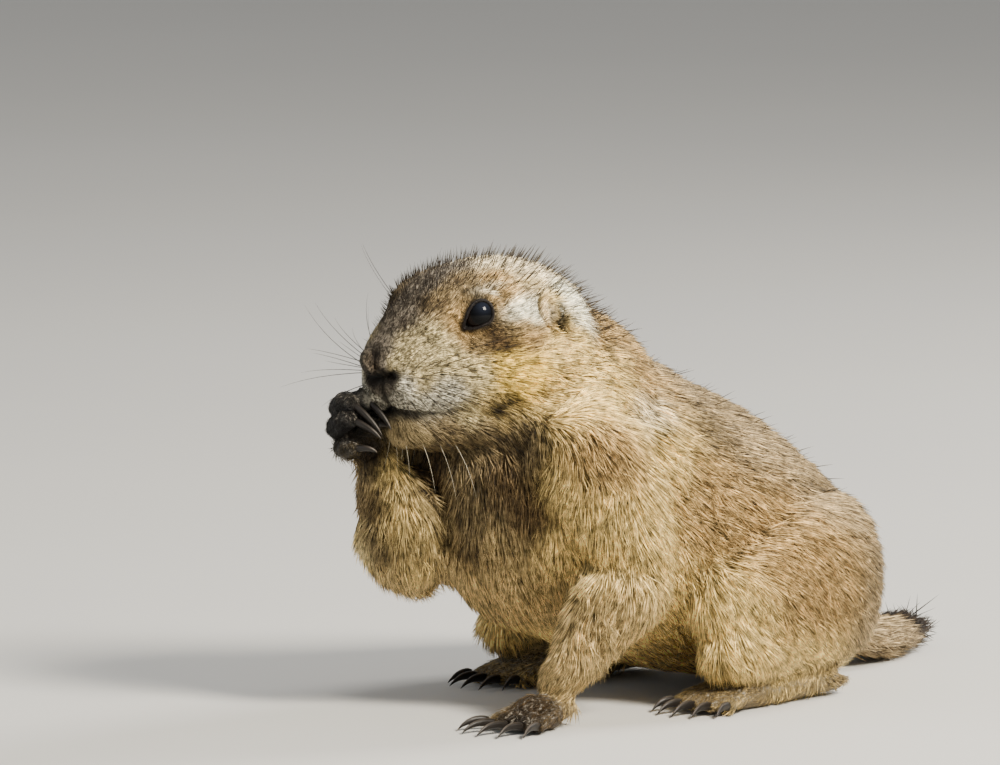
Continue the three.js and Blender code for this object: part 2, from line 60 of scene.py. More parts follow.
# The head's own frame starts at the nose tip: out from the midline, behind the nose, above it.
NOSE_TIP = Vector((-6.0, -54.2, 102.9))
HEAD_PITCH = math.radians(13)
HEAD_TURN = math.radians(-8)
HEAD = (
    Matrix.Translation(NOSE_TIP)
    @ Matrix.Rotation(HEAD_TURN, 4, "Z")
    @ Matrix.Rotation(HEAD_PITCH, 4, "X")
)
BODY = Matrix.Identity(4)

EYE_PLACE = Vector((14.0, 30.0, 4.8))
EYE_AIM = Vector((0.88, -0.38, 0.2)).normalized()

# The edge of the lids by the turn round the eye, where 0 is towards the nose and 90 is up: degrees
# from the eye's aim, and mm that it stands out from the eyeball. It is drawn out to a corner.
LID_EDGE = [
    (-72, 29, 0.1),
    (-45, 41, 0.3),
    (-33, 50, 0.6),
    (-22, 60, 0.9),
    (-10, 50, 0.6),
    (2, 40, 0.25),
    (14, 36, 0.05),
    (48, 30.5, 0),
    (89, 32, 0),
    (112, 33, 0),
    (142, 32, 0),
    (180, 27.5, 0),
    (230, 28.5, 0),
    (273, 27, 0),
]

# Forms of the skin that the coat doesn't hide: place in the head, half sizes and height in mm.
FACE_FORMS = [
    ((3.6, 2.2, -2.6), (2.2, 3.0, 2.6), 0.9),
    ((8.2, 6.0, -11.5), (4.6, 5.0, 4.6), 0.9),
    ((13.0, 21.0, 11.0), (4.0, 6.0, 3.0), 0.5),
    ((24.0, 47.8, 1.4), (3.0, 2.6, 2.2), -0.8),
]


class FaceLine(NamedTuple):
    """A line on the left side of the head: its places, what each axis counts, half width and
    depth in mm, where a negative depth stands out, half width and strength of the black along it,
    and half width of the strip that stays bare."""

    places: list
    axes: tuple
    groove: tuple
    black: tuple = (1.0, 0.0)
    bare: float = 0.0


MUZZLE_AXES = (1, 0.5, 1)
EAR_AXES = (0.4, 1, 1)
FACE_LINES = {
    "mouth": FaceLine(
        [(0, 2.6, -15.4), (2.9, 4.2, -16.6), (6.2, 7, -17.9), (11, 12.5, -20.5), (13.6, 15.8, -22.6)],
        MUZZLE_AXES,
        groove=(1.0, 2.0),
        black=(1.7, 0.95),
        bare=1.1,
    ),
    "cleft": FaceLine(
        [(0, 0.4, -6.0), (0, 0.7, -9.5), (0, 1.5, -12.6), (0, 2.6, -15.4)],
        MUZZLE_AXES,
        groove=(0.7, 0.9),
        black=(1.0, 1.0),
        bare=0.6,
    ),
    # The black along the nostril is dark bare skin and painted shade inside the opening.
    "nostril": FaceLine(
        [(0, -0.2, -6.2), (1.5, 0.3, -6.3), (2.7, 1.3, -6.1), (3.7, 2.2, -5.7)],
        MUZZLE_AXES,
        groove=(1.25, 2.4),
        black=(1.95, 1.0),
        bare=1.6,
    ),
    # The black along the ear's opening is painted shade in the canal.
    "ear_opening": FaceLine(
        [(25.0, 50.1, -0.7), (24.6, 48.7, -1.6), (24.8, 47.9, -2.3), (25.6, 48.2, -4.2)],
        EAR_AXES,
        groove=(0.75, 2.6),
        black=(1.0, 1.0),
        bare=1.0,
    ),
    "ear_rim": FaceLine(
        [
            (22.6, 46.4, 4.6),
            (22.4, 48.9, 4.0),
            (22.8, 51.1, 3.0),
            (23.8, 51.9, 1.4),
            (25.0, 51.7, -1.0),
            (25.8, 51.0, -3.2),
            (26.4, 49.2, -5.0),
        ],
        EAR_AXES,
        groove=(0.85, -1.4),
    ),
    "ear_front": FaceLine(
        [(22.3, 46.0, 4.4), (23.2, 44.8, 3.0), (24.4, 44.2, 1.4), (25.6, 44.3, -0.2), (26, 45, -1.8)],
        EAR_AXES,
        groove=(0.9, -0.8),
    ),
}

# The nose and lips are drawn to the left as it chews: mm at the tip, and how far back it reaches.
CHEWING = 3.0
CHEWING_REACH = 9.0

# Creases between the raised arm, the throat and the chest: line, half width, depth in mm.
# The coat along each crease is also darkened towards dusk, as painted shade.
CREASES = [
    (
        [(-16, -31, 75), (-9.9, -27.3, 68.9), (-3.8, -29, 65), (-1, -28.6, 58), (-2, -26.6, 49)],
        2.2,
        3.0,
    ),
    ([(30, -19, 76), (25.2, -20.3, 68.6), (24, -21.3, 61)], 2.5, 1.6),
]

# Balls that close hollows of the flesh round the raised hand, and one in the head that closes the
# cup of the ear: place and half sizes in mm.
FLESH_FILLS = [
    ((-14.1, -45.2, 86.0), (3.8, 3.8, 4.0)),
    ((-16.0, -43.5, 82.5), (3.6, 3.6, 3.6)),
]
EAR_FILL = ((22.7, 47.4, -1.4), (2.7, 3.4, 4.2))

# The nose pad in the head: place and half sizes in mm.
NOSE_PLACE = (0, 2.1, -2.0)
NOSE_HALVES = (4.3, 3.0, 3.9)

# The bare hands and feet, the nodes that have a piece of their own, and those that the skin covers.
BARE_NODES = ("hand_left", "hand_right", "foot_left", "foot_right")
OWN_PIECES = ("eye_", "eyelids_", "nose", "claw_")
FLESH = sorted(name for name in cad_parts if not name.startswith(OWN_PIECES))
SIDES = {"left": 1, "right": -1}

# How far the nodes are swollen, so that they overlap before one skin is wrapped round them.
SWELL = 0.25 * MM

# Limits that keep the skin and each piece of the coat under 200,000 triangles.
MOST_SKIN_FACES = 190000
MOST_TUFTS = 49000

# How many points the coat's table is worked out for at once.
BATCH = 20000

# Seeds of the random draws. A piece adds its number to the first two.
COAT_SEED = 100
GUARD_SEED = 300
WHISKER_SEED = 41

# The coat's slow and quick sways over the body: seed, and about how far one reaches.
SLOW_SWAY = (5, 6 * MM)
QUICK_SWAY = (6, 2.6 * MM)

# Shares of a tuft's length: how deep its root is sunk, and how far out it is widest.
SUNK = 0.12
WIDEST = 0.4


def linear(code):
    """A colour as linear numbers from its usual six-digit code."""
    values = [int(code[i : i + 2], 16) / 255 for i in (0, 2, 4)]
    return tuple(v / 12.92 if v < 0.04045 else ((v + 0.055) / 1.055) ** 2.4 for v in values)


# Colours of the coat, which the coat's table and the markings name.
COAT_COLOURS = {
    "cream": ("Cream", "fffae0", "Patches behind the eye and round the ear"),
    "frost": ("Frost", "e6d6b2", "Frosted crown and nape"),
    "buff": ("Buff", "e5c984", "Cheeks, shoulders and lower flanks"),
    "gold": ("Gold", "ecca66", "Warm middle of the cheek"),
    "tan": ("Tan", "bb9c68", "Neck and flanks"),
    "back": ("Back", "b39c76", "Back and rump"),
    "brown": ("Brown", "8d7a58", "Forehead and crown"),
    # Streak and dusk also stand as painted shade in creases, under the jaw and by the raised arm.
    "streak": ("Streak", "58452d", "Dark streak under the eye"),
    "dusk": ("Dusk", "241a10", "Whorl of the cheek and dark spots"),
    "slate": ("Slate", "787064", "Bridge of the nose and front of the crown"),
    "muzzle": ("Muzzle", "d2c192", "Sides of the muzzle"),
    "lip": ("Lip", "e9e3ce", "Upper lip"),
    # Chin and chest are set darker than the fur, partly as painted shade under the head.
    "chin": ("Chin", "8c7c5a", "Chin and lower lip"),
    "chest": ("Chest", "7c6c4e", "Chest and throat"),
    "forearm": ("Forearm", "cdb37e", "Forearms and elbows"),
    "paw": ("Paw", "161413", "Hands"),
    "foot": ("Foot", "a08a60", "Feet"),
    "black": ("Black", "0e0b09", "End of the tail, lids and lips"),
}

# Colours of the materials that aren't settings.
# Pale soil on bare skin, which also stands for glints on its key-lit side.
DRY_SOIL_AND_GLINT = linear("aaa294")
IRIS_FIBRES = linear("170e08")
PUPIL = (0.002, 0.002, 0.002)
EYE_RIM = (0.003, 0.0025, 0.002)
# Blue of the sky reflection that is painted on the eyes.
SKY_REFLECTION_PAINT = linear("262b39")
WORN_LEATHER = linear("6b635c")
STREAKED_HORN = linear("2a2622")
WHISKER_ROOT = linear("0f0c0a")
WHISKER_END = linear("3a2f25")
PALE_HAIR = linear("d8cfb8")

# How the coat grows, place by place, on one side of the head: place, lie, length in mm, lift off
# the skin in degrees, reach of the place in mm, colour, and the share of dark hairs.
HEAD_COAT = [
    ((0, 4, 2.5), (0, 0.7, 0.7), 1.6, 14, 3.0, "slate", 0.38),
    ((0, 10, 8), (0, 1, 0.6), 2.6, 20, 6.0, "slate", 0.4),
    ((0, 17, 12), (0, 1, 0.5), 3.2, 24, 6.5, "slate", 0.4),
    ((0, 25, 15.5), (0, 1, 0.35), 4.2, 30, 7.0, "slate", 0.4),
    ((0, 32, 16.6), (0, 1, 0.1), 4.8, 30, 5.0, "slate", 0.26),
    ((5.6, 39.8, 15.9), (0.1, 1, 0.0), 5.0, 28, 5.5, "frost", 0.14),
    ((0, 46, 15.5), (0, 1, -0.1), 5.6, 30, 8.0, "frost", 0.2),
    ((0, 58, 11), (0, 1, -0.3), 6.4, 28, 8.0, "frost", 0.16),
    ((4.5, 13.0, 9.4), (0.1, 1, 0.5), 2.8, 20, 3.6, "slate", 0.34),
    ((6.8, 16.5, 10.7), (0.2, 1, 0.5), 3.0, 20, 4.0, "brown", 0.38),
    ((11, 20, 10.5), (0.2, 1, 0.45), 3.2, 18, 5.0, "brown", 0.26),
    ((8, 28, 15), (0.15, 1, 0.3), 4.2, 24, 5.5, "brown", 0.22),
    ((12.5, 37, 13.4), (0.15, 1, 0.0), 4.6, 22, 5.0, "tan", 0.16),
    ((12, 48, 12.6), (0.1, 1, -0.2), 5.6, 26, 7.0, "frost", 0.13),
    ((13.5, 21, 5.5), (0.3, 0.9, 0.3), 2.6, 16, 4.0, "tan", 0.2),
    ((0, 0.3, -1.5), (0, 0.5, 0.9), 0.6, 10, 2.0, "streak", 0.38),
    ((2.4, 0.6, -2.2), (0.3, 0.6, 0.6), 0.8, 10, 1.8, "slate", 0.38),
    ((3.0, 2.0, 1.4), (0.3, 0.8, 0.5), 1.0, 12, 2.2, "slate", 0.45),
    ((4.6, 2.6, -2.4), (0.4, 0.9, 0.25), 1.2, 12, 2.0, "muzzle", 0.42),
    ((1.4, 0.8, -9.5), (0.5, 0.3, -0.85), 1.1, 14, 2.0, "slate", 0.3),
    ((7.6, 7, 2), (0.4, 0.85, 0.3), 2.0, 16, 4.0, "muzzle", 0.4),
    ((9.6, 6.5, -3.4), (0.5, 0.85, 0.0), 2.0, 16, 4.0, "muzzle", 0.35),
    ((11.5, 12, 2), (0.4, 0.9, 0.1), 2.4, 16, 4.5, "muzzle", 0.35),
    ((3.4, 1.6, -7.8), (0.5, 0.5, -0.6), 1.2, 18, 2.0, "slate", 0.38),
    ((6.8, 3.6, -8.8), (0.5, 0.8, -0.2), 1.8, 18, 3.0, "lip", 0.45),
    ((11.3, 7.5, -8.0), (0.4, 0.9, -0.25), 2.2, 18, 4.0, "muzzle", 0.35),
    ((4.4, 2.8, -12.8), (0.3, 0.5, -0.8), 1.7, 18, 3.0, "lip", 0.5),
    ((11.0, 8.5, -14.6), (0.3, 0.75, -0.6), 2.4, 20, 4.0, "lip", 0.3),
    ((14.5, 13.5, -13.0), (0.35, 0.85, -0.4), 3.0, 18, 4.5, "lip", 0.3),
    ((15.5, 16, -5.0), (0.3, 0.95, -0.1), 2.8, 16, 5.0, "muzzle", 0.3),
    ((17.5, 22, -0.5), (0.25, 0.95, -0.2), 2.4, 14, 4.0, "tan", 0.23),
    ((20.5, 28.5, -2.6), (0.25, 0.95, -0.12), 3.0, 14, 4.0, "streak", 0.3),
    ((25, 38, -3.0), (0.1, 1, -0.1), 4.0, 16, 5.0, "tan", 0.16),
    ((18.5, 21, -10), (0.3, 0.9, -0.25), 3.2, 18, 5.0, "muzzle", 0.25),
    ((23, 28, -10), (0.2, 0.95, -0.2), 3.8, 18, 5.5, "gold", 0.22),
    ((25.5, 33, -14), (0.1, 0.95, -0.25), 4.4, 20, 6.0, "gold", 0.1),
    ((25.8, 38, -20), (0.05, 0.85, -0.5), 5.0, 22, 6.0, "buff", 0.1),
    ((18.5, 25, -20), (0.15, 0.85, -0.45), 4.2, 22, 4.5, "buff", 0.16),
    ((15.0, 19, -20.5), (0.3, 0.7, -0.6), 3.8, 24, 4.0, "muzzle", 0.25),
    ((20.5, 37, 9.5), (0.1, 1, 0.1), 3.6, 16, 4.0, "tan", 0.13),
    ((23.4, 40.5, 1.6), (0.05, 1, 0.0), 2.8, 14, 3.5, "cream", 0.06),
    ((25.2, 42.8, 0.0), (0.1, 0.5, 0.9), 1.7, 14, 2.2, "tan", 0.13),
    ((25.4, 45.6, 4.0), (0.1, 1, 0.3), 1.6, 14, 2.2, "buff", 0.13),
    ((26.2, 48.6, 1.6), (0.1, 0.8, -0.7), 1.5, 14, 2.2, "buff", 0.1),
    ((25.4, 45.0, -0.6), (0.0, 0.7, -0.5), 1.1, 16, 2.0, "tan", 0.16),
    ((26.6, 49.6, -2.5), (0.0, 0.6, -0.9), 1.4, 14, 2.0, "buff", 0.1),
    ((26.4, 46.5, -7.0), (0.0, 1, -0.3), 2.2, 14, 2.4, "tan", 0.16),
    ((27.3, 43, -7), (0.0, 1, -0.2), 4.6, 18, 5.5, "buff", 0.1),
    ((26.7, 52, -10), (0.0, 1, -0.3), 5.4, 20, 6.0, "buff", 0.08),
    ((21, 57, 2), (0.05, 1, -0.3), 5.6, 22, 6.0, "cream", 0.04),
    ((26.6, 44, -20), (0.0, 0.85, -0.5), 6.0, 24, 7.0, "buff", 0.12),
    ((26, 53, -18), (0.0, 0.9, -0.45), 6.4, 22, 7.0, "buff", 0.1),
    # The throat rows in chest colour are darker partly as painted shade under the jaw.
    ((21, 33, -30), (0.05, 0.65, -0.8), 6.5, 26, 6.0, "chest", 0.25),
    ((0, 5.0, -23), (0, 0.5, -0.85), 2.6, 24, 3.5, "chin", 0.1),
    ((6.3, 6.0, -25), (0.1, 0.7, -0.7), 3.0, 22, 4.0, "chin", 0.12),
    ((10.3, 13, -27), (0.1, 0.8, -0.6), 3.6, 22, 5.0, "chest", 0.25),
    ((14.5, 22, -28), (0.1, 0.8, -0.6), 5.0, 26, 5.5, "chest", 0.25),
    ((0, 16, -30), (0, 0.8, -0.6), 4.6, 26, 6.0, "chest", 0.2),
    ((0, 34, -36), (0, 0.5, -0.9), 7.0, 26, 8.0, "chest", 0.2),
]

# The same for the trunk, limbs and tail in the body's frame, with the side that a row is for.
BODY_COAT = [
    ("both", (0, 12, 113), (0, 1, -0.3), 8.0, 26, 12, "tan", 0.25),
    ("both", (20, 9, 107), (0.1, 0.95, -0.45), 7.5, 24, 11, "tan", 0.15),
    ("both", (28, 3, 97), (0.15, 0.8, -0.6), 7.5, 24, 11, "buff", 0.12),
    ("both", (28, 19, 97), (0.1, 0.85, -0.55), 8.0, 24, 11, "tan", 0.15),
    ("both", (0, 30, 107), (0, 1, -0.15), 8.5, 24, 14, "back", 0.21),
    ("both", (20, 36, 98), (0.05, 1, -0.3), 8.5, 22, 13, "back", 0.21),
    ("both", (0, 60, 92), (0, 1, -0.35), 9.0, 22, 15, "back", 0.21),
    ("both", (35, 52, 79), (0.05, 0.9, -0.5), 9.0, 22, 14, "back", 0.18),
    ("both", (0, 90, 68), (0, 0.85, -0.6), 9.0, 22, 16, "back", 0.18),
    ("both", (39, 76, 62), (0.05, 0.8, -0.65), 9.0, 22, 15, "back", 0.17),
    ("both", (0, 114, 42), (0, 0.6, -0.8), 9.0, 22, 16, "back", 0.15),
    ("both", (46, 46, 55), (0.0, 0.8, -0.6), 9.5, 22, 14, "tan", 0.13),
    ("both", (42, 28, 66), (0.0, 0.75, -0.65), 9.0, 22, 13, "tan", 0.15),
    ("both", (48, 8, 56), (0.0, 0.5, -0.9), 8.5, 22, 12, "buff", 0.11),
    # A pale frosted patch on the shoulder, partly a painted highlight.
    ("both", (32, 15, 89), (0.1, 0.75, -0.7), 8.5, 26, 7, "frost", 0.05),
    ("both", (36, 36, 82), (0.05, 0.8, -0.6), 9.0, 22, 8, "brown", 0.2),
    ("both", (38, 18, 75), (0.05, 0.7, -0.75), 8.5, 24, 11, "buff", 0.11),
    ("both", (41, -9, 76), (0.2, 0.3, -0.95), 7.5, 28, 9, "tan", 0.2),
    ("both", (42, -11, 63), (0.05, 0.1, -1), 8.0, 24, 10, "buff", 0.09),
    ("both", (33, -17, 68), (-0.3, 0.0, -0.95), 7.0, 28, 8, "buff", 0.15),
    ("both", (34, -10, 50), (-0.1, 0.1, -1), 8.0, 24, 10, "buff", 0.1),
    ("both", (0, -33, 58), (0, 0.0, -1), 8.5, 26, 12, "chest", 0.12),
    ("both", (15, -30, 60), (0.15, 0.0, -1), 8.5, 28, 10, "chest", 0.15),
    # Streak rows where the throat meets the chest: painted shade under the head.
    ("both", (19, -27, 70), (0.1, 0.1, -1), 7.5, 30, 8, "streak", 0.15),
    ("both", (24, -20, 63), (0.0, 0.0, -1), 7.0, 24, 7, "streak", 0.2),
    ("both", (0, -26, 36), (0, 0.2, -1), 8.5, 24, 14, "forearm", 0.09),
    ("both", (26, -8, 30), (0.1, 0.2, -1), 8.0, 22, 14, "forearm", 0.09),
    ("both", (0, 20, 12), (0, 1, -0.3), 6.0, 16, 20, "buff", 0.06),
    ("both", (0, 80, 8), (0, 1, -0.3), 6.0, 16, 22, "buff", 0.06),
    ("both", (42, 26, 28), (0.0, 0.65, -0.75), 8.0, 22, 14, "buff", 0.07),
    ("both", (52, 64, 42), (0.0, 0.65, -0.75), 8.5, 20, 14, "tan", 0.11),
    ("both", (44, 98, 34), (-0.1, 0.75, -0.65), 8.5, 22, 14, "back", 0.13),
    ("both", (46, 36, 30), (0.0, 0.4, -0.9), 6.5, 18, 9, "buff", 0.07),
    ("both", (44, 62, 15), (0.0, 0.75, -0.5), 5.0, 18, 9, "buff", 0.07),
    ("both", (37, 90, 8), (0, 0.6, -0.4), 3.0, 16, 8, "foot", 0.06),
    ("both", (37, 64, 10), (0, -0.9, -0.2), 2.6, 12, 9, "foot", 0.06),
    ("both", (39, 44, 7), (0, -1, -0.15), 2.2, 10, 8, "foot", 0.07),
    ("both", (40, 30, 3), (0, -1, -0.2), 1.8, 10, 6, "foot", 0.12),
    # A lighter patch on the chest: painted light.
    ("left", (13, -25, 55), (0.1, 0.0, -1), 8.0, 28, 5.5, "forearm", 0.15),
    ("left", (36, 0, 33), (-0.1, -0.5, -0.85), 7.0, 22, 10, "forearm", 0.09),
    ("left", (31, -15, 14), (-0.1, -0.75, -0.6), 4.0, 18, 7, "forearm", 0.12),
    ("left", (31, -26, 6), (0, -1, -0.3), 2.0, 12, 6, "streak", 0.18),
    ("left", (31, -36, 3), (0, -1, -0.2), 1.6, 10, 5, "dusk", 0.24),
    ("right", (-18, -42, 76), (-0.1, 0.3, -0.9), 2.4, 18, 4.5, "dusk", 0.3),
    # Buff rows on the raised forearm's side towards the key light: painted light.
    ("right", (-12, -38, 72), (-0.1, 0.1, -0.95), 4.2, 20, 5, "buff", 0.12),
    ("right", (-8, -38, 61), (0.0, 0.1, -0.95), 6.5, 20, 8, "buff", 0.08),
    ("right", (-4, -32, 56), (0.1, 0.1, -0.95), 7.5, 20, 7, "buff", 0.08),
    # Streak, chest and brown rows on the raised forearm's other side: painted shade.
    ("right", (-16, -43, 63), (-0.1, 0.0, -0.95), 6.0, 20, 4.5, "streak", 0.25),
    ("right", (-17, -43, 52), (-0.1, 0.0, -0.95), 7.0, 20, 4.5, "chest", 0.2),
    ("right", (-24, -41, 64), (-0.15, 0.1, -0.95), 5.5, 24, 5, "brown", 0.25),
    ("right", (-25, -40, 52), (-0.15, 0.0, -0.95), 7.5, 24, 5, "muzzle", 0.15),
    ("right", (-28, -34, 54), (-0.2, 0.1, -0.95), 8.5, 26, 7, "buff", 0.12),
    # Buff row on the lower forearm: painted light against the head's shadow.
    ("right", (-7, -33, 44), (0.0, 0.1, -1), 8.5, 22, 7, "buff", 0.12),
    ("right", (-20, -33, 42), (-0.1, 0.2, -1), 9.0, 24, 8, "forearm", 0.12),
    # Streak rows between the raised arm and the throat and on the chest: painted shade.
    ("right", (-9, -27, 73), (0.0, 0.0, -1), 6.5, 24, 5, "streak", 0.3),
    ("right", (2, -26, 50), (0.0, 0.0, -1), 8.0, 24, 6, "streak", 0.25),
    ("right", (-34, -12, 58), (-0.1, 0.2, -1), 8.0, 22, 10, "buff", 0.15),
    ("right", (-16, -50, 86), (0.4, -0.3, 0.5), 1.2, 12, 7, "paw", 0),
    ("both", (0, 126, 17), (0, 1, -0.35), 8.0, 20, 10, "back", 0.15),
    ("both", (-3, 145, 10), (-0.1, 1, -0.05), 9.0, 22, 11, "back", 0.18),
    ("right", (-12, 164, 8), (-0.45, 0.9, 0), 11.0, 24, 9, "dusk", 0.18),
    ("right", (-25, 183, 6), (-0.75, 0.65, 0), 13.0, 22, 9, "black", 0),
]

# Markings on top of that, on both sides of the head: place, half sizes, colour and strength.
MARKINGS = [
    ((15.5, 32.0, 10.6), (4.0, 5.0, 1.0), "cream", 0.45),
    ((21.8, 38.8, 4.0), (5.0, 6.0, 3.0), "cream", 1.0),
    ((23.0, 43.5, 1.0), (5.0, 3.5, 2.5), "cream", 0.7),
    ((19.0, 54.5, 6.0), (6.0, 5.0, 6.5), "cream", 1.0),
    ((23.0, 57.5, -1.5), (5.0, 4.5, 6.5), "cream", 0.85),
    ((20.4, 27.5, -3.4), (5.0, 5.0, 1.7), "streak", 0.8),
    ((24.0, 33.5, -4.6), (4.0, 6.0, 1.5), "streak", 0.75),
    ((23.2, 34.5, -0.6), (4.0, 5.5, 1.9), "brown", 0.7),
    ((6.6, 15.0, 10.2), (2.2, 2.8, 2.0), "dusk", 0.95),
    ((11.3, 18.6, 9.4), (2.0, 2.2, 1.6), "dusk", 0.85),
    ((8.5, 26.0, 13.5), (1.6, 2.2, 1.4), "streak", 0.6),
    ((4.0, 9.0, 6.2), (1.4, 3.2, 2.0), "dusk", 0.6),
    ((17.2, 25.8, -21.0), (4.0, 3.2, 2.3), "dusk", 1.0),
    ((20.6, 29.0, -18.8), (3.4, 3.4, 1.8), "dusk", 0.9),
    ((18.6, 26.2, -18.9), (4.0, 2.6, 2.2), "black", 0.85),
    # Painted shade under the jaw.
    ((15.8, 33.0, -29.5), (6.0, 9.0, 3.6), "dusk", 0.6),
    ((0.0, 18.0, 12.5), (5.5, 12.0, 4.5), "slate", 0.7),
    # Painted shade in the middle groove of the nose.
    ((0.2, 0.9, 0.2), (1.5, 2.4, 3.2), "black", 1.0),
    # The nostrils: dark bare skin, and painted shade inside the openings.
    ((2.8, 1.2, -6.0), (2.8, 2.4, 1.2), "black", 1.0),
    ((3.5, 2.2, -5.9), (1.4, 1.8, 1.6), "black", 1.0),
    # Painted shade of the far wing of the nose, laid on both sides.
    ((2.1, 0.4, -2.0), (1.3, 2.0, 2.8), "slate", 0.9),
    ((2.0, 0.3, -3.0), (1.0, 2.0, 2.6), "dusk", 0.3),
    ((0.0, 2.4, -14.8), (2.4, 3.0, 1.8), "black", 0.8),
    ((17.2, 23.0, 0.2), (2.0, 1.6, 1.2), "dusk", 0.7),
    ((18.0, 24.4, -1.6), (4.0, 3.2, 1.8), "brown", 0.65),
    ((17.5, 44.5, 9.4), (4.0, 3.5, 2.4), "buff", 0.5),
    ((21.6, 47.8, 5.0), (4.0, 3.0, 3.2), "buff", 0.9),
    ((23.5, 46.0, 4.2), (4.0, 1.6, 2.6), "tan", 0.6),
    ((24.0, 44.0, 1.8), (4.0, 1.2, 4.0), "tan", 0.85),
    # Painted shade in the cup and the opening of the ear.
    ((24.5, 47.8, 1.0), (4.0, 2.8, 2.6), "brown", 0.8),
    ((25.2, 48.9, -1.9), (2.4, 1.5, 1.9), "black", 0.8),
    ((25.4, 50.0, -4.4), (4.0, 1.0, 1.6), "tan", 0.7),
    ((19.0, 25.0, -2.4), (4.0, 3.6, 1.4), "streak", 0.6),
]


def placed(place, matrix=BODY, side=1):
    """A place of the tables in metres in the model's frame, mirrored for the right side."""
    x, y, z = place
    return (matrix @ Vector((side * x, y, z)) - FLOOR_MIDDLE) * MM


def headed(direction, matrix=BODY, side=1):
    """A direction of the tables as a unit vector in the model's frame."""
    x, y, z = direction
    return (matrix.to_3x3() @ Vector((side * x, y, z))).normalized()


def unit(vectors):
    return vectors / np.maximum(np.linalg.norm(vectors, axis=1, keepdims=True), 1e-12)


def smoothstep(low, high, values):
    t = np.clip((values - low) / (high - low), 0, 1)
    return t * t * (3 - 2 * t)


def dot(a, b):
    return np.einsum("ij,ij->i", a, b)


def laid_flat(vectors, normals):
    """Vectors without the part of them that leaves the skin."""
    return vectors - normals * dot(vectors, normals)[:, None]


def bell(values, width, power=2):
    """1 where values are 0, and falling smoothly to 0 beyond about a width."""
    return np.exp(-((values / width) ** power))


def form_gap(points, place, halves):
    """How far points are from a place, squared, in half sizes of a form there."""
    return (((points - place) / halves) ** 2).sum(1)


def distance_to_line(points, line):
    """How far each point is from a line of straight stretches."""
    nearest = np.full(len(points), np.inf)
    for start, end in zip(line, line[1:]):
        start, span = np.array(start), np.array(end) - np.array(start)
        share = np.clip((points - start) @ span / (span @ span), 0, 1)
        gap = np.linalg.norm(points - start - share[:, None] * span, axis=1)
        nearest = np.minimum(nearest, gap)
    return nearest


def drawn_aside(local):
    """How far to the left the chewing draws the face at places of the head, in mm."""
    return CHEWING * bell(local[:, 1], CHEWING_REACH)


def fold(local):
    """Places of the head folded onto its left side, about the middle of the nose and lips."""
    folded = local.copy()
    folded[:, 0] = np.abs(local[:, 0] - drawn_aside(local))
    return folded


def line_gap(folded, line):
    """How far places of the folded head are from a line of the face."""
    places = [np.array(place) * line.axes for place in line.places]
    return distance_to_line(folded * line.axes, places)


def from_nose(local):
    """How far places of the head are from the middle of the nose pad, in its half sizes."""
    return np.linalg.norm((local - NOSE_PLACE) / NOSE_HALVES, axis=1)


def on_nodes(owners, names):
    """Which points belong to some nodes of flesh, by each point's index in FLESH."""
    return np.isin(owners, [FLESH.index(name) for name in names])


class Growth:
    """The coat's lie, length, lift, colour and dark share at any place on the skin."""

    def __init__(self, colours):
        rows = [(HEAD, side, row) for row in HEAD_COAT for side in (1, -1)]
        for sides, *row in BODY_COAT:
            rows += [(BODY, side, row) for side in ((1, -1) if sides == "both" else (1,))]
        self.places = np.array([placed(row[0], matrix, side) for matrix, side, row in rows])
        self.lies = np.array([headed(row[1], matrix, side) for matrix, side, row in rows])
        self.sizes = np.array([(row[2] * MM, math.radians(row[3]), row[6]) for *_, row in rows])
        self.reach = np.array([row[4] * MM for *_, row in rows])
        self.tints = np.array([colours[row[5]] for *_, row in rows])
        self.colours = colours

    def at(self, points, normals):
        """Lie, length, lift, dark share and colour at points of the skin."""
        local, folded = in_head(points)
        aside = np.array(headed((1, 0, 0), HEAD)) * MM
        centred = points - drawn_aside(local)[:, None] * aside
        parts = [self._blend(centred[i : i + BATCH]) for i in range(0, len(points), BATCH)]
        lie, sizes, colour = (np.concatenate(columns) for columns in zip(*parts))
        for place, halves, name, strength in MARKINGS:
            fade = np.exp(-(form_gap(folded, place, halves) ** 1.5)) * strength
            colour = self.tinted(colour, name, fade)
        for line in FACE_LINES.values():
            width, strength = line.black
            if strength:
                fade = bell(line_gap(folded, line), width, 3) * strength
                colour = self.tinted(colour, "black", fade)
        # Painted shade darkens the coat along the creases.
        for line, width, _ in CREASES:
            painted_crease_shade = bell(distance_to_line(in_body(points), line), width * 1.3)
            colour = self.tinted(colour, "dusk", 0.7 * painted_crease_shade)
        length, lift, dark = sizes.T
        # Round an eye the hairs are shorter and lie away from it.
        for offset, distance, outside, _ in round_eyes(points):
            near = bell(np.maximum(outside - 0.1, 0), 0.4) * (distance < 11 * MM)
            lie += 1.3 * near[:, None] * unit(laid_flat(offset, normals))
            length = length * (1 - 0.6 * near)
        return unit(laid_flat(lie, normals)), length, lift, dark, colour

    def tinted(self, colour, name, share):
        """Colours taken towards a colour of the coat, by each one's share."""
        return colour + (np.array(self.colours[name]) - colour) * share[:, None]

    def _blend(self, points):
        """Means of the tables' rows for each point, where the nearest rows count most."""
        gap = np.linalg.norm(points[:, None] - self.places[None], axis=2) / self.reach
        weight = (1 + gap**2) ** -4.0
        weight /= weight.sum(1, keepdims=True)
        return weight @ self.lies, weight @ self.sizes, weight @ self.tints


def sway(points, seed, length, waves=14):
    """Directions of about unit size that change smoothly over about a length: the slope of a sum
    of waves that run in random directions."""
    rng = np.random.default_rng(seed)
    runs = unit(rng.normal(size=(waves, 3))) * 2 * np.pi
    runs /= length * rng.uniform(0.7, 1.5, (waves, 1))
    slope = np.cos(points @ runs.T + rng.uniform(0, 2 * np.pi, waves)) @ runs
    return slope / np.sqrt((slope**2).sum(1).mean())


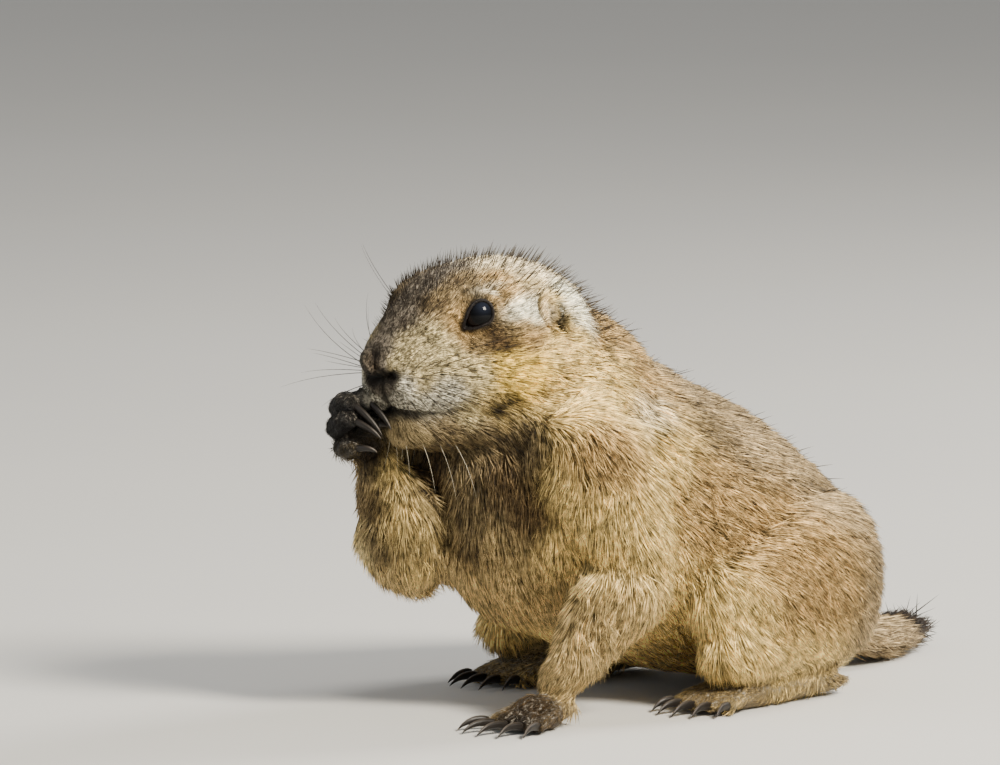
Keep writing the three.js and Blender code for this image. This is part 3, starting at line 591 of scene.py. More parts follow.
class Shade:
    """A socket of a material. Sums, differences and products of shades add Math nodes."""

    def __init__(self, paint, socket):
        self.paint = paint
        self.socket = socket

    def _math(self, operation, first, second):
        return self.paint.node("ShaderNodeMath", {"operation": operation}, {0: first, 1: second})

    def __add__(self, other):
        return self._math("ADD", self, other)

    def __radd__(self, other):
        return self._math("ADD", other, self)

    def __sub__(self, other):
        return self._math("SUBTRACT", self, other)

    def __rsub__(self, other):
        return self._math("SUBTRACT", other, self)

    def __mul__(self, other):
        return self._math("MULTIPLY", self, other)

    def __rmul__(self, other):
        return self._math("MULTIPLY", other, self)


class Paint:
    """One material and the nodes that it is made of."""

    def __init__(self, name):
        self.material = bpy.data.materials.new(name)
        self.material.use_nodes = True
        self.tree = self.material.node_tree
        self.tree.nodes.clear()

    def node(self, kind, settings=None, inputs=None, output=0):
        """Adds a node: its settings first, then the values or shades of its sockets."""
        made = self.tree.nodes.new(kind)
        for name, value in (settings or {}).items():
            if name == "stops":
                self._set_stops(made.color_ramp, value)
            else:
                setattr(made, name, value)
        for name, value in (inputs or {}).items():
            if isinstance(value, Shade):
                self.tree.links.new(value.socket, made.inputs[name])
            else:
                made.inputs[name].default_value = value
        return Shade(self, made.outputs[output]) if made.outputs else None

    def _set_stops(self, ramp, stops):
        while len(ramp.elements) < len(stops):
            ramp.elements.new(1.0)
        for element, (place, colour) in zip(ramp.elements, stops):
            element.position = place
            element.color = (*colour, 1.0)

    def attribute(self, name, output=0):
        return self.node("ShaderNodeAttribute", {"attribute_name": name}, output=output)

    def place(self, stretch=(1, 1, 1)):
        """Object coordinates in metres, stretched."""
        where = self.node("ShaderNodeTexCoord", output="Object")
        return self.node("ShaderNodeMapping", None, {"Vector": where, "Scale": stretch})

    def noise(self, where, scale, detail=2.0, roughness=0.5):
        inputs = {"Vector": where, "Scale": scale, "Detail": detail, "Roughness": roughness}
        return self.node("ShaderNodeTexNoise", None, inputs)

    def cells(self, where, scale, feature):
        inputs = {"Vector": where, "Scale": scale}
        return self.node("ShaderNodeTexVoronoi", {"feature": feature}, inputs)

    def ramp(self, value, stops):
        """A value that goes from stop to stop, each a place and the value there."""
        stops = [(place, (v, v, v)) for place, v in stops]
        shade = self.node("ShaderNodeValToRGB", {"stops": stops}, {"Fac": value})
        return self.node("ShaderNodeRGBToBW", None, {0: shade})

    def split(self, vector):
        """The three numbers of a vector."""
        made = self.node("ShaderNodeSeparateXYZ", None, {0: vector}).socket.node
        return [Shade(self, socket) for socket in made.outputs]

    def mix(self, factor, one, other):
        """One colour where the factor is 0 and the other one where it is 1."""
        one, other = ((*c, 1.0) if isinstance(c, tuple) else c for c in (one, other))
        inputs = {0: factor, 6: one, 7: other}
        return self.node("ShaderNodeMix", {"data_type": "RGBA"}, inputs, output=2)

    def scaled(self, colour, value):
        """A colour made lighter or darker by a value."""
        inputs = {0: colour, "Scale": value}
        return self.node("ShaderNodeVectorMath", {"operation": "SCALE"}, inputs)

    def bump(self, height, strength, distance):
        inputs = {"Height": height, "Strength": strength, "Distance": distance}
        return self.node("ShaderNodeBump", None, inputs)

    def finish(self, inputs):
        surface = self.node("ShaderNodeBsdfPrincipled", None, inputs)
        self.node("ShaderNodeOutputMaterial", None, {"Surface": surface})
        return self.material


def coat_material(settings):
    """Tufts: dark at the root, partly as painted shade, paler along the hair, with dark ends where
    the strand says so.
    """
    paint = Paint("coat_tufts")
    tint = paint.attribute("coat")
    along, tone, dark = paint.split(paint.attribute("strand", "Vector"))
    where = paint.place()
    # The patchy noise is partly random tone and partly painted light and shade of the locks.
    patchy_tone_and_shade = paint.noise(where, 90, 2) * 0.6 + paint.noise(where, 450, 2) * 2.4
    # Dark specks where hairs are flecked: partly dark hairs, partly painted shade between them.
    specks = paint.ramp(paint.noise(where, 1150, 1), [(0.5, 0.0), (0.6, 1.0)])
    # Light rises from root to tip: partly the hair's banding, partly painted shade deep in the coat.
    light = (along * 1.25 + 0.26) * (tone * 1.7 + 0.22) * (patchy_tone_and_shade - 0.46)
    light = light * (1 - specks * paint.ramp(dark, [(0.0, 0.0), (0.22, 0.72)]))
    colour = paint.scaled(tint, light)
    tip = paint.ramp(along, [(0.2, 0.0), (0.5, 1.0)]) * dark
    colour = paint.mix(tip, colour, tuple(settings.dark_hair))
    rough = tone * 0.16 + 0.5
    return paint.finish({"Base Color": colour, "Roughness": rough, "Specular IOR Level": 0.16})


def skin_material():
    """Underfur where the coat is long, and dark creased leather on the palms and digits."""
    paint = Paint("skin_and_underfur")
    tint = paint.attribute("coat")
    bare = paint.attribute("bare", "Fac")
    strands = paint.noise(paint.place((900, 260, 900)), 1.0, 3, 0.6)
    colour = paint.scaled(tint, strands * 0.5 + 0.25)
    where = paint.place()
    creases = paint.cells(where, 1400.0, "DISTANCE_TO_EDGE")
    specks = paint.ramp(paint.noise(where, 900, 4, 0.7), [(0.5, 0.05), (0.62, 0.95)])
    # Pale specks on the upward and key-lit side of bare skin: partly soil, partly painted highlight.
    dust = paint.attribute("dust", "Fac") * specks
    colour = paint.mix(dust, colour, DRY_SOIL_AND_GLINT)
    folds = paint.noise(where, 520, 4, 0.7)
    height = strands * (1 - bare) + (creases + folds * 4.5) * bare
    inputs = {
        "Base Color": colour,
        "Roughness": 0.8 - bare * 0.35,
        "Specular IOR Level": 0.4,
        "Normal": paint.bump(height, 1.0, 0.0009),
    }
    return paint.finish(inputs)


def eye_material(settings):
    """A brown iris so deep that it reads as black, with a painted blue reflection of the sky."""
    paint = Paint("eye_wet")
    facing = paint.attribute("facing", "Fac")
    fibres = paint.noise(paint.place((700, 700, 700)), 1.0, 3)
    iris = paint.mix(fibres, tuple(settings.eye), IRIS_FIBRES)
    pupil = paint.ramp(facing, [(0.82, 0.0), (0.86, 1.0)])
    rim = paint.ramp(facing, [(0.35, 1.0), (0.5, 0.0)])
    colour = paint.mix(pupil, iris, PUPIL)
    colour = paint.mix(rim, colour, EYE_RIM)
    # A painted reflection of the sky, blue, round a fixed direction on the eyeball.
    bloom = paint.attribute("bloom", "Fac") * 0.5
    colour = paint.mix(bloom, colour, SKY_REFLECTION_PAINT)
    return paint.finish({"Base Color": colour, "Roughness": 0.06, "Specular IOR Level": 0.09})


def leather_material(name, colour, grain, rough):
    """Bare moist skin of the nose and lids, with a fine raised grain."""
    paint = Paint(name)
    where = paint.place()
    cells = paint.cells(where, grain, "SMOOTH_F1")
    cloud = paint.noise(where, grain * 0.3, 3)
    shade = paint.scaled(tuple(colour), cloud * 0.9 + 0.55)
    worn = paint.ramp(cells, [(0.1, 0.06), (0.6, 0.0)])
    shade = paint.mix(worn, shade, WORN_LEATHER)
    bump = paint.bump(cells * -1.0 + cloud * 0.4, 0.5, 0.0003)
    inputs = {"Base Color": shade, "Roughness": cloud * 0.2 + rough, "Normal": bump}
    return paint.finish(inputs | {"Specular IOR Level": 0.14})


def claw_material(settings):
    """Horn: dark, streaked lengthways, with a paler ridge towards the point, partly worn and partly
    a painted highlight.
    """
    paint = Paint("claw_horn")
    horn = paint.attribute("horn", "Vector")
    along, around, _ = paint.split(horn)
    streaks = paint.noise(horn, 7.0, 3, 0.6)
    # The paler ridge is partly wear towards the point and partly a painted highlight along it.
    worn = paint.ramp(around, [(0.78, 0.0), (0.97, 1.0)]) * (along * 0.5 + 0.4) * streaks * 1.5
    colour = paint.mix(streaks * 0.5, tuple(settings.claw), STREAKED_HORN)
    colour = paint.mix(worn, colour, tuple(settings.ridge_wear_and_glint))
    bump = paint.bump(streaks, 0.35, 0.0002)
    inputs = {"Base Color": colour, "Roughness": streaks * 0.25 + 0.3, "Normal": bump}
    return paint.finish(inputs | {"Specular IOR Level": 0.3})


def whisker_material():
    """Nearly black whiskers, and pale hairs where the strand's tone is over 0.95."""
    paint = Paint("whisker")
    along, tone, _ = paint.split(paint.attribute("strand", "Vector"))
    colour = paint.mix(along * 0.5, WHISKER_ROOT, WHISKER_END)
    colour = paint.mix(paint.ramp(tone, [(0.9, 0.0), (0.95, 1.0)]), colour, PALE_HAIR)
    return paint.finish({"Base Color": colour, "Roughness": 0.35 + along * 0.1})


def floor_material(settings):
    """A pale matt floor with a faint cloud in it."""
    paint = Paint("floor_pale")
    cloud = paint.noise(paint.place(), 3.0, 3)
    colour = paint.scaled(tuple(settings.floor), cloud * 0.06 + 0.97)
    return paint.finish({"Base Color": colour, "Roughness": cloud * 0.1 + 0.75})


def smoothed(mesh):
    mesh.polygons.foreach_set("use_smooth", np.ones(len(mesh.polygons), bool))
    return mesh


def mesh_from(name, points, faces):
    """A mesh of triangles from arrays of places and corners."""
    mesh = bpy.data.meshes.new(name)
    mesh.vertices.add(len(points))
    mesh.vertices.foreach_set("co", points.astype(np.float32).ravel())
    mesh.loops.add(faces.size)
    mesh.loops.foreach_set("vertex_index", faces.astype(np.int32).ravel())
    mesh.polygons.add(len(faces))
    mesh.polygons.foreach_set("loop_start", np.arange(0, faces.size, 3, dtype=np.int32))
    smoothed(mesh).update(calc_edges=True)
    return mesh


def mesh_of(name, form):
    """A smooth mesh with the shape of a bmesh, which is freed."""
    mesh = bpy.data.meshes.new(name)
    form.to_mesh(mesh)
    form.free()
    return smoothed(mesh)


def join(whole, part):
    """Adds a bmesh to a larger one and frees it."""
    mesh = mesh_of("part", part)
    whole.from_mesh(mesh)
    bpy.data.meshes.remove(mesh)


def moved(mesh, points):
    """Gives the corners of a mesh new places."""
    mesh.vertices.foreach_set("co", points.astype(np.float32).ravel())
    mesh.update()


def read(items, name, width, kind=np.float32):
    """One property of all items of a mesh, as an array with a row for each."""
    values = np.empty(len(items) * width, kind)
    items.foreach_get(name, values)
    return values.reshape(-1, width)


def store(mesh, name, values):
    """Keeps an array as a point attribute: numbers, vectors or, under the name coat, colours."""
    values = np.asarray(values, np.float32)
    kind, field = ("FLOAT", "value") if values.ndim == 1 else ("FLOAT_VECTOR", "vector")
    if name == "coat":
        kind, field = "FLOAT_COLOR", "color"
        values = np.column_stack([values, np.ones(len(values), np.float32)])
    mesh.attributes.new(name, kind, "POINT").data.foreach_set(field, values.ravel())


def shown(name, mesh, material, replaces=()):
    """A piece of the animal that rides on its one body."""
    piece = bpy.data.objects.new(name, mesh)
    bpy.context.collection.objects.link(piece)
    mesh.materials.append(material)
    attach(piece, "root")
    if replaces:
        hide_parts(*replaces)
    return piece


def corners_of(mesh):
    """Places, normals and triangles of a mesh as arrays."""
    mesh.calc_loop_triangles()
    points = read(mesh.vertices, "co", 3).astype(float)
    normals = read(mesh.vertex_normals, "vector", 3).astype(float)
    return points, normals, read(mesh.loop_triangles, "vertices", 3, np.int32)


def with_modifiers(mesh, *modifiers):
    """The mesh with modifiers applied, given as a type and its settings."""
    carrier = bpy.data.objects.new("carrier", mesh)
    bpy.context.collection.objects.link(carrier)
    for kind, settings in modifiers:
        modifier = carrier.modifiers.new(kind.lower(), kind)
        for name, value in settings.items():
            setattr(modifier, name, value)
    graph = bpy.context.evaluated_depsgraph_get()
    made = bpy.data.meshes.new_from_object(carrier.evaluated_get(graph))
    bpy.data.objects.remove(carrier)
    return made


def relaxed(points, edges, weight, rounds):
    """Places moved towards the middle of their neighbours, by each one's weight."""
    ends = np.concatenate([edges[:, 0], edges[:, 1]])
    others = np.concatenate([edges[:, 1], edges[:, 0]])
    count = np.bincount(ends, minlength=len(points))[:, None]
    for _ in range(rounds):
        sums = [np.bincount(ends, points[others, axis], len(points)) for axis in range(3)]
        middle = np.stack(sums, 1) / np.maximum(count, 1)
        points = points + (middle - points) * weight[:, None]
    return points


def flesh_union(voxel):
    """All nodes of flesh, swollen until they overlap and wrapped in one even mesh."""
    union = bmesh.new()
    for name in [*FLESH, "eye_left", "eye_right", "eyelids_left", "eyelids_right", "nose"]:
        union.from_mesh(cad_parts[name].data)
    bmesh.ops.remove_doubles(union, verts=union.verts[:], dist=1e-6)
    fills = [(place, halves, BODY, 1) for place, halves in FLESH_FILLS]
    fills += [(*EAR_FILL, HEAD, side) for side in SIDES.values()]
    for place, halves, matrix, side in fills:
        form = Matrix.Translation(placed(place, matrix, side)) @ matrix.to_3x3().to_4x4()
        form = form @ Matrix.Diagonal((*halves, 1 / MM)) * MM
        bmesh.ops.create_icosphere(union, subdivisions=3, radius=1.0, matrix=form)
    union.normal_update()
    for vertex in union.verts:
        vertex.co += vertex.normal * SWELL
    mesh = mesh_of("union", union)
    return with_modifiers(mesh, ("REMESH", {"mode": "VOXEL", "voxel_size": voxel}))


def nearest_nodes(points):
    """The index in FLESH of the node of flesh that each point is nearest to."""
    places, faces, owners = [], [], []
    for index, name in enumerate(FLESH):
        co, _, corners = corners_of(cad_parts[name].data)
        faces += (corners + len(places)).tolist()
        places += co.tolist()
        owners += [index] * len(corners)
    tree = BVHTree.FromPolygons(places, faces, all_triangles=True)
    return np.array([owners[tree.find_nearest(point)[2]] for point in points.tolist()])


def lid_edge(turn):
    """How far the lids' edge is from the eye's aim, in radians, and how far it stands out."""
    turns, openings, outs = zip(*LID_EDGE)
    degrees = np.degrees(turn)
    opening = np.radians(np.interp(degrees, turns, openings, period=360))
    return opening, np.interp(degrees, turns, outs, period=360) * MM


def eye_axes(side):
    """Where an eye is, and its aim, forward and up directions."""
    aim = headed(EYE_AIM, HEAD, side)
    ahead = headed((0, -1, 0), HEAD)
    forward = (ahead - aim * ahead.dot(aim)).normalized()
    up = forward.cross(aim) * side
    return placed(EYE_PLACE, HEAD, side), aim, forward, up


def round_eye(points, side):
    """Offsets and distances of points from an eye's centre, how far they are outside the lids'
    edge in radians, and how far the edge stands out there."""
    centre, aim, forward, up = (np.array(v) for v in eye_axes(side))
    offset = points - centre
    distance = np.linalg.norm(offset, axis=1)
    lean = np.arccos(np.clip(offset @ aim / np.maximum(distance, 1e-9), -1, 1))
    opening, out = lid_edge(np.arctan2(offset @ up, offset @ forward))
    return offset, distance, lean - opening, out


def round_eyes(points):
    """The same for the left eye and for the right one."""
    return [round_eye(points, side) for side in SIDES.values()]


def in_body(points):
    """Points as the tables give them for the body, in mm."""
    return points / MM + np.array(FLOOR_MIDDLE)


def in_head(points):
    """Points in the head's own frame, in mm: as they are, and folded onto its left side."""
    local = (in_body(points) - np.array(NOSE_TIP)) @ np.array(HEAD.to_3x3())
    return local, fold(local)


class SkinRecord:
    """The finished skin as arrays, for the coat to grow from."""

    points = None

    def add(self, mesh, naked):
        """Adds a piece that the coat's finest hairs grow on too, such as the nose."""
        points, normals, corners = corners_of(mesh)
        # A new sphere has its faces in another order each time, and the hairs are drawn by them.
        corners = np.sort(corners, axis=1)
        corners = corners[np.lexsort(corners.T)]
        tree = BVHTree.FromPolygons(self.points.tolist(), self.corners.tolist())
        middles = points[corners].mean(1).tolist()
        nearest = [tree.find_nearest(middle)[2] for middle in middles]
        self.uvs = np.concatenate([self.uvs, self.uvs[nearest]])
        owners = np.full(len(points), FLESH.index("head"))
        grown = self.growth.at(points, normals)
        self.corners = np.concatenate([self.corners, corners + len(self.points)])
        parts = {"points": points, "normals": normals, "owners": owners, "naked": naked}
        parts |= dict(zip(("lie", "length", "lift", "dark", "colour"), grown))
        for name, values in parts.items():
            setattr(self, name, np.concatenate([getattr(self, name), values]))


SKIN = SkinRecord()


def colour_setting(name, code, words):
    """A colour that a user may change, by its usual six-digit code."""
    return FloatVectorProperty(name=name, description=words, subtype="COLOR", default=linear(code))


class CoatSettings(bpy.types.PropertyGroup):
    """Sizes and colours of the skin and its coat."""

    voxel: FloatProperty(
        name="Skin mesh", description="Size of the skin's faces", default=0.6 * MM, unit="LENGTH"
    )
    length: FloatProperty(
        name="Length", description="All hair lengths are multiplied by this", default=1.0, min=0.2
    )
    layers: FloatProperty(
        name="Layers", description="How many tufts lie over one another", default=4.4, min=0.5
    )
    clumping: FloatProperty(
        name="Clumping", description="How much tufts lean together", default=0.3, min=0.0
    )
    depth: FloatProperty(
        name="Depth", description="Share of the coat's height that the skin sinks", default=0.62
    )
    dark_hair: colour_setting("Dark hair", "241c14", "Colour of dark hairs and dark hair ends")


for key, (title, code, words) in COAT_COLOURS.items():
    CoatSettings.__annotations__[key] = colour_setting(title, code, words)


class FaceSettings(bpy.types.PropertyGroup):
    """Sizes and colours of the eyes, lids, nose and whiskers."""

    eye_radius: FloatProperty(
        name="Eye radius", description="Radius of the eyeball", default=5.7 * MM, unit="LENGTH"
    )
    lid_width: FloatProperty(
        name="Lid width", description="Width of the bare rim", default=0.9 * MM, unit="LENGTH"
    )
    eye: colour_setting("Eye", "0b0706", "Iris colour")
    bare: colour_setting("Bare skin", "191614", "Colour of the nose")
    lid: colour_setting("Lid", "110d0c", "Colour of the lids' rims")
    whiskers: IntProperty(name="Whiskers", description="Whiskers a side", default=26, min=0)


class ClawSettings(bpy.types.PropertyGroup):
    """Colours and thickness of the claws."""

    claw: colour_setting("Claw", "16120f", "Colour of the horn")
    # Colour of the ridge: partly wear, partly a painted highlight.
    ridge_wear_and_glint: colour_setting("Worn ridge", "6a625a", "Colour along the worn ridge")
    thickness: FloatProperty(
        name="Thickness", description="Radius at the root", default=0.86 * MM, unit="LENGTH"
    )


class StageSettings(bpy.types.PropertyGroup):
    """Floor, light and camera."""

    floor: FloatVectorProperty(
        name="Floor", description="Floor colour", subtype="COLOR", default=(0.62, 0.61, 0.58)
    )
    key: FloatProperty(name="Key light", description="Power of the key light", default=80.0)
    fill: FloatProperty(name="Fill light", description="Power of the fill light", default=4.0)
    distance: FloatProperty(
        name="Camera distance", description="From the shoulders", default=3.0, unit="LENGTH"
    )


class MakeSkin(bpy.types.Operator):
    """Wraps the nodes of flesh in one skin, sinks it by the coat's depth and shapes the face"""

    bl_idname = "prairie_dog.skin"
    bl_label = "Skin"

    def execute(self, context):
        settings = context.scene.prairie_coat
        growth = Growth({key: tuple(getattr(settings, key)) for key in COAT_COLOURS})
        mesh = flesh_union(settings.voxel)
        points = corners_of(mesh)[0]
        edges = read(mesh.edges, "vertices", 2, np.int32)
        owners = nearest_nodes(points)
        # Smooth it, but hardly on the bare hands and feet, and less on ears and lids.
        bare = on_nodes(owners, BARE_NODES).astype(float)
        bare = relaxed(np.repeat(bare[:, None], 3, 1), edges, np.full(len(bare), 0.5), 6)[:, 0]
        ear = on_nodes(owners, [f"ear_{word}" for word in SIDES])
        free = 0.6 * (1 - 0.93 * np.clip(bare, 0, 1)) * np.where(ear, 0.4, 1)
        for _, distance, outside, _ in round_eyes(points):
            free *= np.where((distance < 8 * MM) & (outside < 0.25), 0.25, 1)
        points = relaxed(points, edges, free, 45)
        raised = owners == FLESH.index("hand_right")
        points = self.shaped(context, mesh, points, growth, raised)
        # Smooth the step that is left round the lids.
        near_eye = np.zeros(len(points))
        for _, distance, outside, _ in round_eyes(points):
            near_eye += (distance < 12 * MM) * bell(outside - 0.5, 0.35)
        moved(mesh, relaxed(points, edges, 0.3 * np.clip(near_eye, 0, 1), 8))
        self.finished(mesh, growth)
        return {"FINISHED"}

    def shaped(self, context, mesh, points, growth, raised):
        """Sinks the skin by the coat's depth, opens the lids and draws nose, ears and mouth."""
        settings, radius = context.scene.prairie_coat, context.scene.prairie_face.eye_radius
        moved(mesh, points)
        normals = corners_of(mesh)[1]
        _, length, lift, _, _ = growth.at(points, normals)
        depth = settings.depth * settings.length * length * np.sin(lift) + SWELL
        depth -= raised * 0.9 * MM
        local, folded = in_head(points)
        for _, distance, outside, _ in round_eyes(points):
            near = (1 - smoothstep(0.1, 0.7, outside)) * (distance < 11 * MM)
            depth *= 1 - near
        for place, halves, height in FACE_FORMS:
            depth -= height * MM * np.exp(-form_gap(folded, place, halves))
        depth += 0.5 * MM * (1 - smoothstep(0.98, 1.1, from_nose(local)))
        for line in FACE_LINES.values():
            width, sunk = line.groove
            depth += sunk * MM * bell(line_gap(folded, line), width)
        for line, width, sunk in CREASES:
            depth += sunk * MM * bell(distance_to_line(in_body(points), line), width)
        points = points - normals * depth[:, None]
        for side in SIDES.values():
            offset, distance, outside, out = round_eye(points, side)
            near = distance < 12 * MM
            socket = near * (1 - smoothstep(0.35, 1.0, outside))
            target = radius + 0.5 * MM + out + 0.9 * MM * smoothstep(0.15, 0.6, outside)
            inside = 1 - smoothstep(-0.02, 0.1, outside)
            target = target - (1.6 * MM + out) * inside
            pull = socket * (target - distance) / np.maximum(distance, 1e-9)
            points = points + offset * pull[:, None]
        return points

    def finished(self, mesh, growth):
        """Thins the mesh, gives it the markings, unwraps it and keeps it for the coat."""
        ratio = min(1.0, MOST_SKIN_FACES / (2 * len(mesh.polygons)))
        mesh = with_modifiers(mesh, ("TRIANGULATE", {}), ("DECIMATE", {"ratio": ratio}))
        points, normals, corners = corners_of(smoothed(mesh))
        lie, length, lift, dark, colour = growth.at(points, normals)
        owners = nearest_nodes(points)
        bare = on_nodes(owners, BARE_NODES).astype(float)
        local, folded = in_head(points)
        naked = np.zeros(len(points))
        for line in FACE_LINES.values():
            if line.bare:
                naked += bell(line_gap(folded, line), line.bare, 3)
        for _, distance, outside, _ in round_eyes(points):
            naked += (distance < 9 * MM) * (1 - smoothstep(0.1, 0.25, outside))
        naked = np.clip(naked, 0, 1)
        colour = growth.tinted(colour, "black", naked)
        # Dust faces up and towards the key light, so it is partly soil and partly painted highlight.
        dust = smoothstep(-0.3, 0.8, normals[:, 2] + 0.35 * normals[:, 0]) * bare
        store(mesh, "coat", colour)
        store(mesh, "bare", bare)
        store(mesh, "dust", dust)
        skin = shown("skin", mesh, skin_material(), FLESH)
        unwrap(skin, "OFBake")
        mesh.calc_loop_triangles()
        loops = read(mesh.loop_triangles, "loops", 3, np.int32)
        SKIN.uvs = read(mesh.uv_layers["OFBake"].data, "uv", 2)[loops]
        SKIN.points, SKIN.normals, SKIN.corners = points, normals, corners
        SKIN.lie, SKIN.length, SKIN.lift = lie, length, lift
        SKIN.dark, SKIN.colour, SKIN.owners = dark, colour, owners
        SKIN.naked = np.clip(naked + (from_nose(local) < 1.04), 0, 1)
        SKIN.growth = growth


def unwrap(piece, name):
    """Gives a piece a UV map unwrapped from its own shape."""
    piece.data.uv_layers.new(name=name)
    bpy.ops.object.select_all(action="DESELECT")
    piece.select_set(True)
    bpy.context.view_layer.objects.active = piece
    bpy.ops.object.mode_set(mode="EDIT")
    bpy.ops.mesh.select_all(action="SELECT")
    bpy.ops.uv.smart_project(angle_limit=math.radians(70), island_margin=0.001)
    bpy.ops.object.mode_set(mode="OBJECT")


# Which nodes of flesh each piece of the coat grows on.
COAT_PIECES = {
    "coat_head_left": ("head", "ear_left"),
    "coat_head_right": ("head", "ear_right"),
    "coat_jaw": ("lower_jaw",),
    "coat_neck": ("neck",),
    "coat_chest": ("chest",),
    "coat_belly": ("belly",),
    "coat_rump": ("rump",),
    "coat_arm_left": ("upper_arm_left", "forearm_left"),
    "coat_arm_right": ("upper_arm_right", "forearm_right"),
    "coat_leg_left": ("thigh_left", "shank_left"),
    "coat_leg_right": ("thigh_right", "shank_right"),
    "coat_paws": BARE_NODES,
    "coat_tail": ("tail_base", "tail_tip"),
}

# The long hairs that stand out: nodes that they grow on, how many to a square mm, their length as a
# share of the coat's there, and their least lift off the skin in degrees.
GUARD_HAIRS = {
    "guard_hairs_head": (("head",), 0.95, 1.0, 56),
    "guard_hairs_neck": (("neck",), 0.26, 0.8, 46),
    "guard_hairs_back": (("chest", "belly", "rump"), 0.05, 0.8, 34),
}


class Roots:
    """Random places on the skin of some nodes, at a density of so many to a square metre."""

    def __init__(self, names, density, rng):
        chosen = np.flatnonzero(on_nodes(SKIN.owners[SKIN.corners[:, 0]], names))
        a, b, c = (SKIN.points[SKIN.corners[chosen, i]] for i in range(3))
        area = 0.5 * np.linalg.norm(np.cross(b - a, c - a), axis=1)
        expected = area * density[SKIN.corners[chosen]].mean(1)
        expected *= min(1.0, MOST_TUFTS / max(expected.sum(), 1))
        count = np.floor(expected + rng.random(len(chosen))).astype(int)
        self.triangles = np.repeat(chosen, count)
        self.count = len(self.triangles)
        one, other = rng.random(self.count), rng.random(self.count)
        flip = one + other > 1
        one, other = np.where(flip, 1 - one, one), np.where(flip, 1 - other, other)
        self.weights = np.column_stack([1 - one - other, one, other])
        self.points = self.of(SKIN.points)
        self.normals = unit(self.of(SKIN.normals))
        self.uv = (SKIN.uvs[self.triangles] * self.weights[:, :, None]).sum(1)

    def of(self, values):
        """Values that the skin's points have, at these places between them."""
        weights = self.weights if values.ndim == 1 else self.weights[:, :, None]
        return (values[SKIN.corners[self.triangles]] * weights).sum(1)


def tuft_width(length):
    """Longer tufts are a little wider."""
    return 0.12 * MM + 0.015 * length


def tufts(name, roots, lie, length, width, lift, bend, colour, strand):
    """Thin curved tufts in one mesh, each closed: a sunk root, two widest corners and a tip.
    They leave the skin at the angle `lift` and end at the angle `bend` to it."""
    lie = unit(laid_flat(lie, roots.normals))
    side = unit(np.cross(lie, roots.normals))
    raised = np.sin(lift)[:, None] * roots.normals + np.cos(lift)[:, None] * lie
    bent = np.sin(bend)[:, None] * roots.normals + np.cos(bend)[:, None] * lie
    start = roots.points - raised * (SUNK * length)[:, None]
    middle = roots.points + raised * (WIDEST * length)[:, None]
    tip = middle + unit(bent) * ((1 - WIDEST) * length)[:, None]
    half = side * (width / 2)[:, None]
    points = np.stack([start, middle + half, middle - half, tip], 1)
    above_floor = [0.3 * MM, 0.45 * MM, 0.45 * MM, 0.15 * MM]
    points[:, :, 2] = np.maximum(points[:, :, 2], above_floor)
    pattern = np.array([(0, 1, 2), (3, 2, 1), (0, 3, 1), (0, 2, 3)])
    faces = (np.arange(roots.count) * 4)[:, None, None] + pattern
    over = np.cross(points[:, 1] - points[:, 0], points[:, 2] - points[:, 0])
    inward = dot(over, points[:, 3] - points[:, 0]) > 0
    faces[inward] = faces[inward][:, :, ::-1]
    mesh = mesh_from(name, points.reshape(-1, 3), faces.reshape(-1, 3))
    along = np.broadcast_to(np.array([0.0, 0.45, 0.45, 1.0]), (roots.count, 4))
    tone, dark = (np.repeat(values[:, None], 4, 1) for values in strand)
    store(mesh, "strand", np.stack([along, tone, dark], 2).reshape(-1, 3))
    store(mesh, "coat", np.repeat(colour, 4, 0))
    patch = np.array([(0, -0.0015), (-0.0015, 0), (0.0015, 0), (0, 0.0015)])
    corner_uv = (roots.uv[:, None] + patch).reshape(-1, 2)[faces.reshape(-1)]
    mesh.uv_layers.new(name="OFBake").data.foreach_set("uv", corner_uv.astype(np.float32).ravel())
    return mesh


def gathered(roots, length, share, size, rng):
    """Leans of tufts towards the middle of their lock; a lock is of about `size` tufts."""
    seeds = rng.choice(len(roots), max(1, len(roots) // size), replace=False)
    tree = KDTree(len(seeds))
    for index, seed in enumerate(seeds):
        tree.insert(roots[seed], index)
    tree.balance()
    middles = roots[seeds[[tree.find(root)[1] for root in roots]]]
    return (middles - roots) / np.maximum(length, 1e-6)[:, None] * share


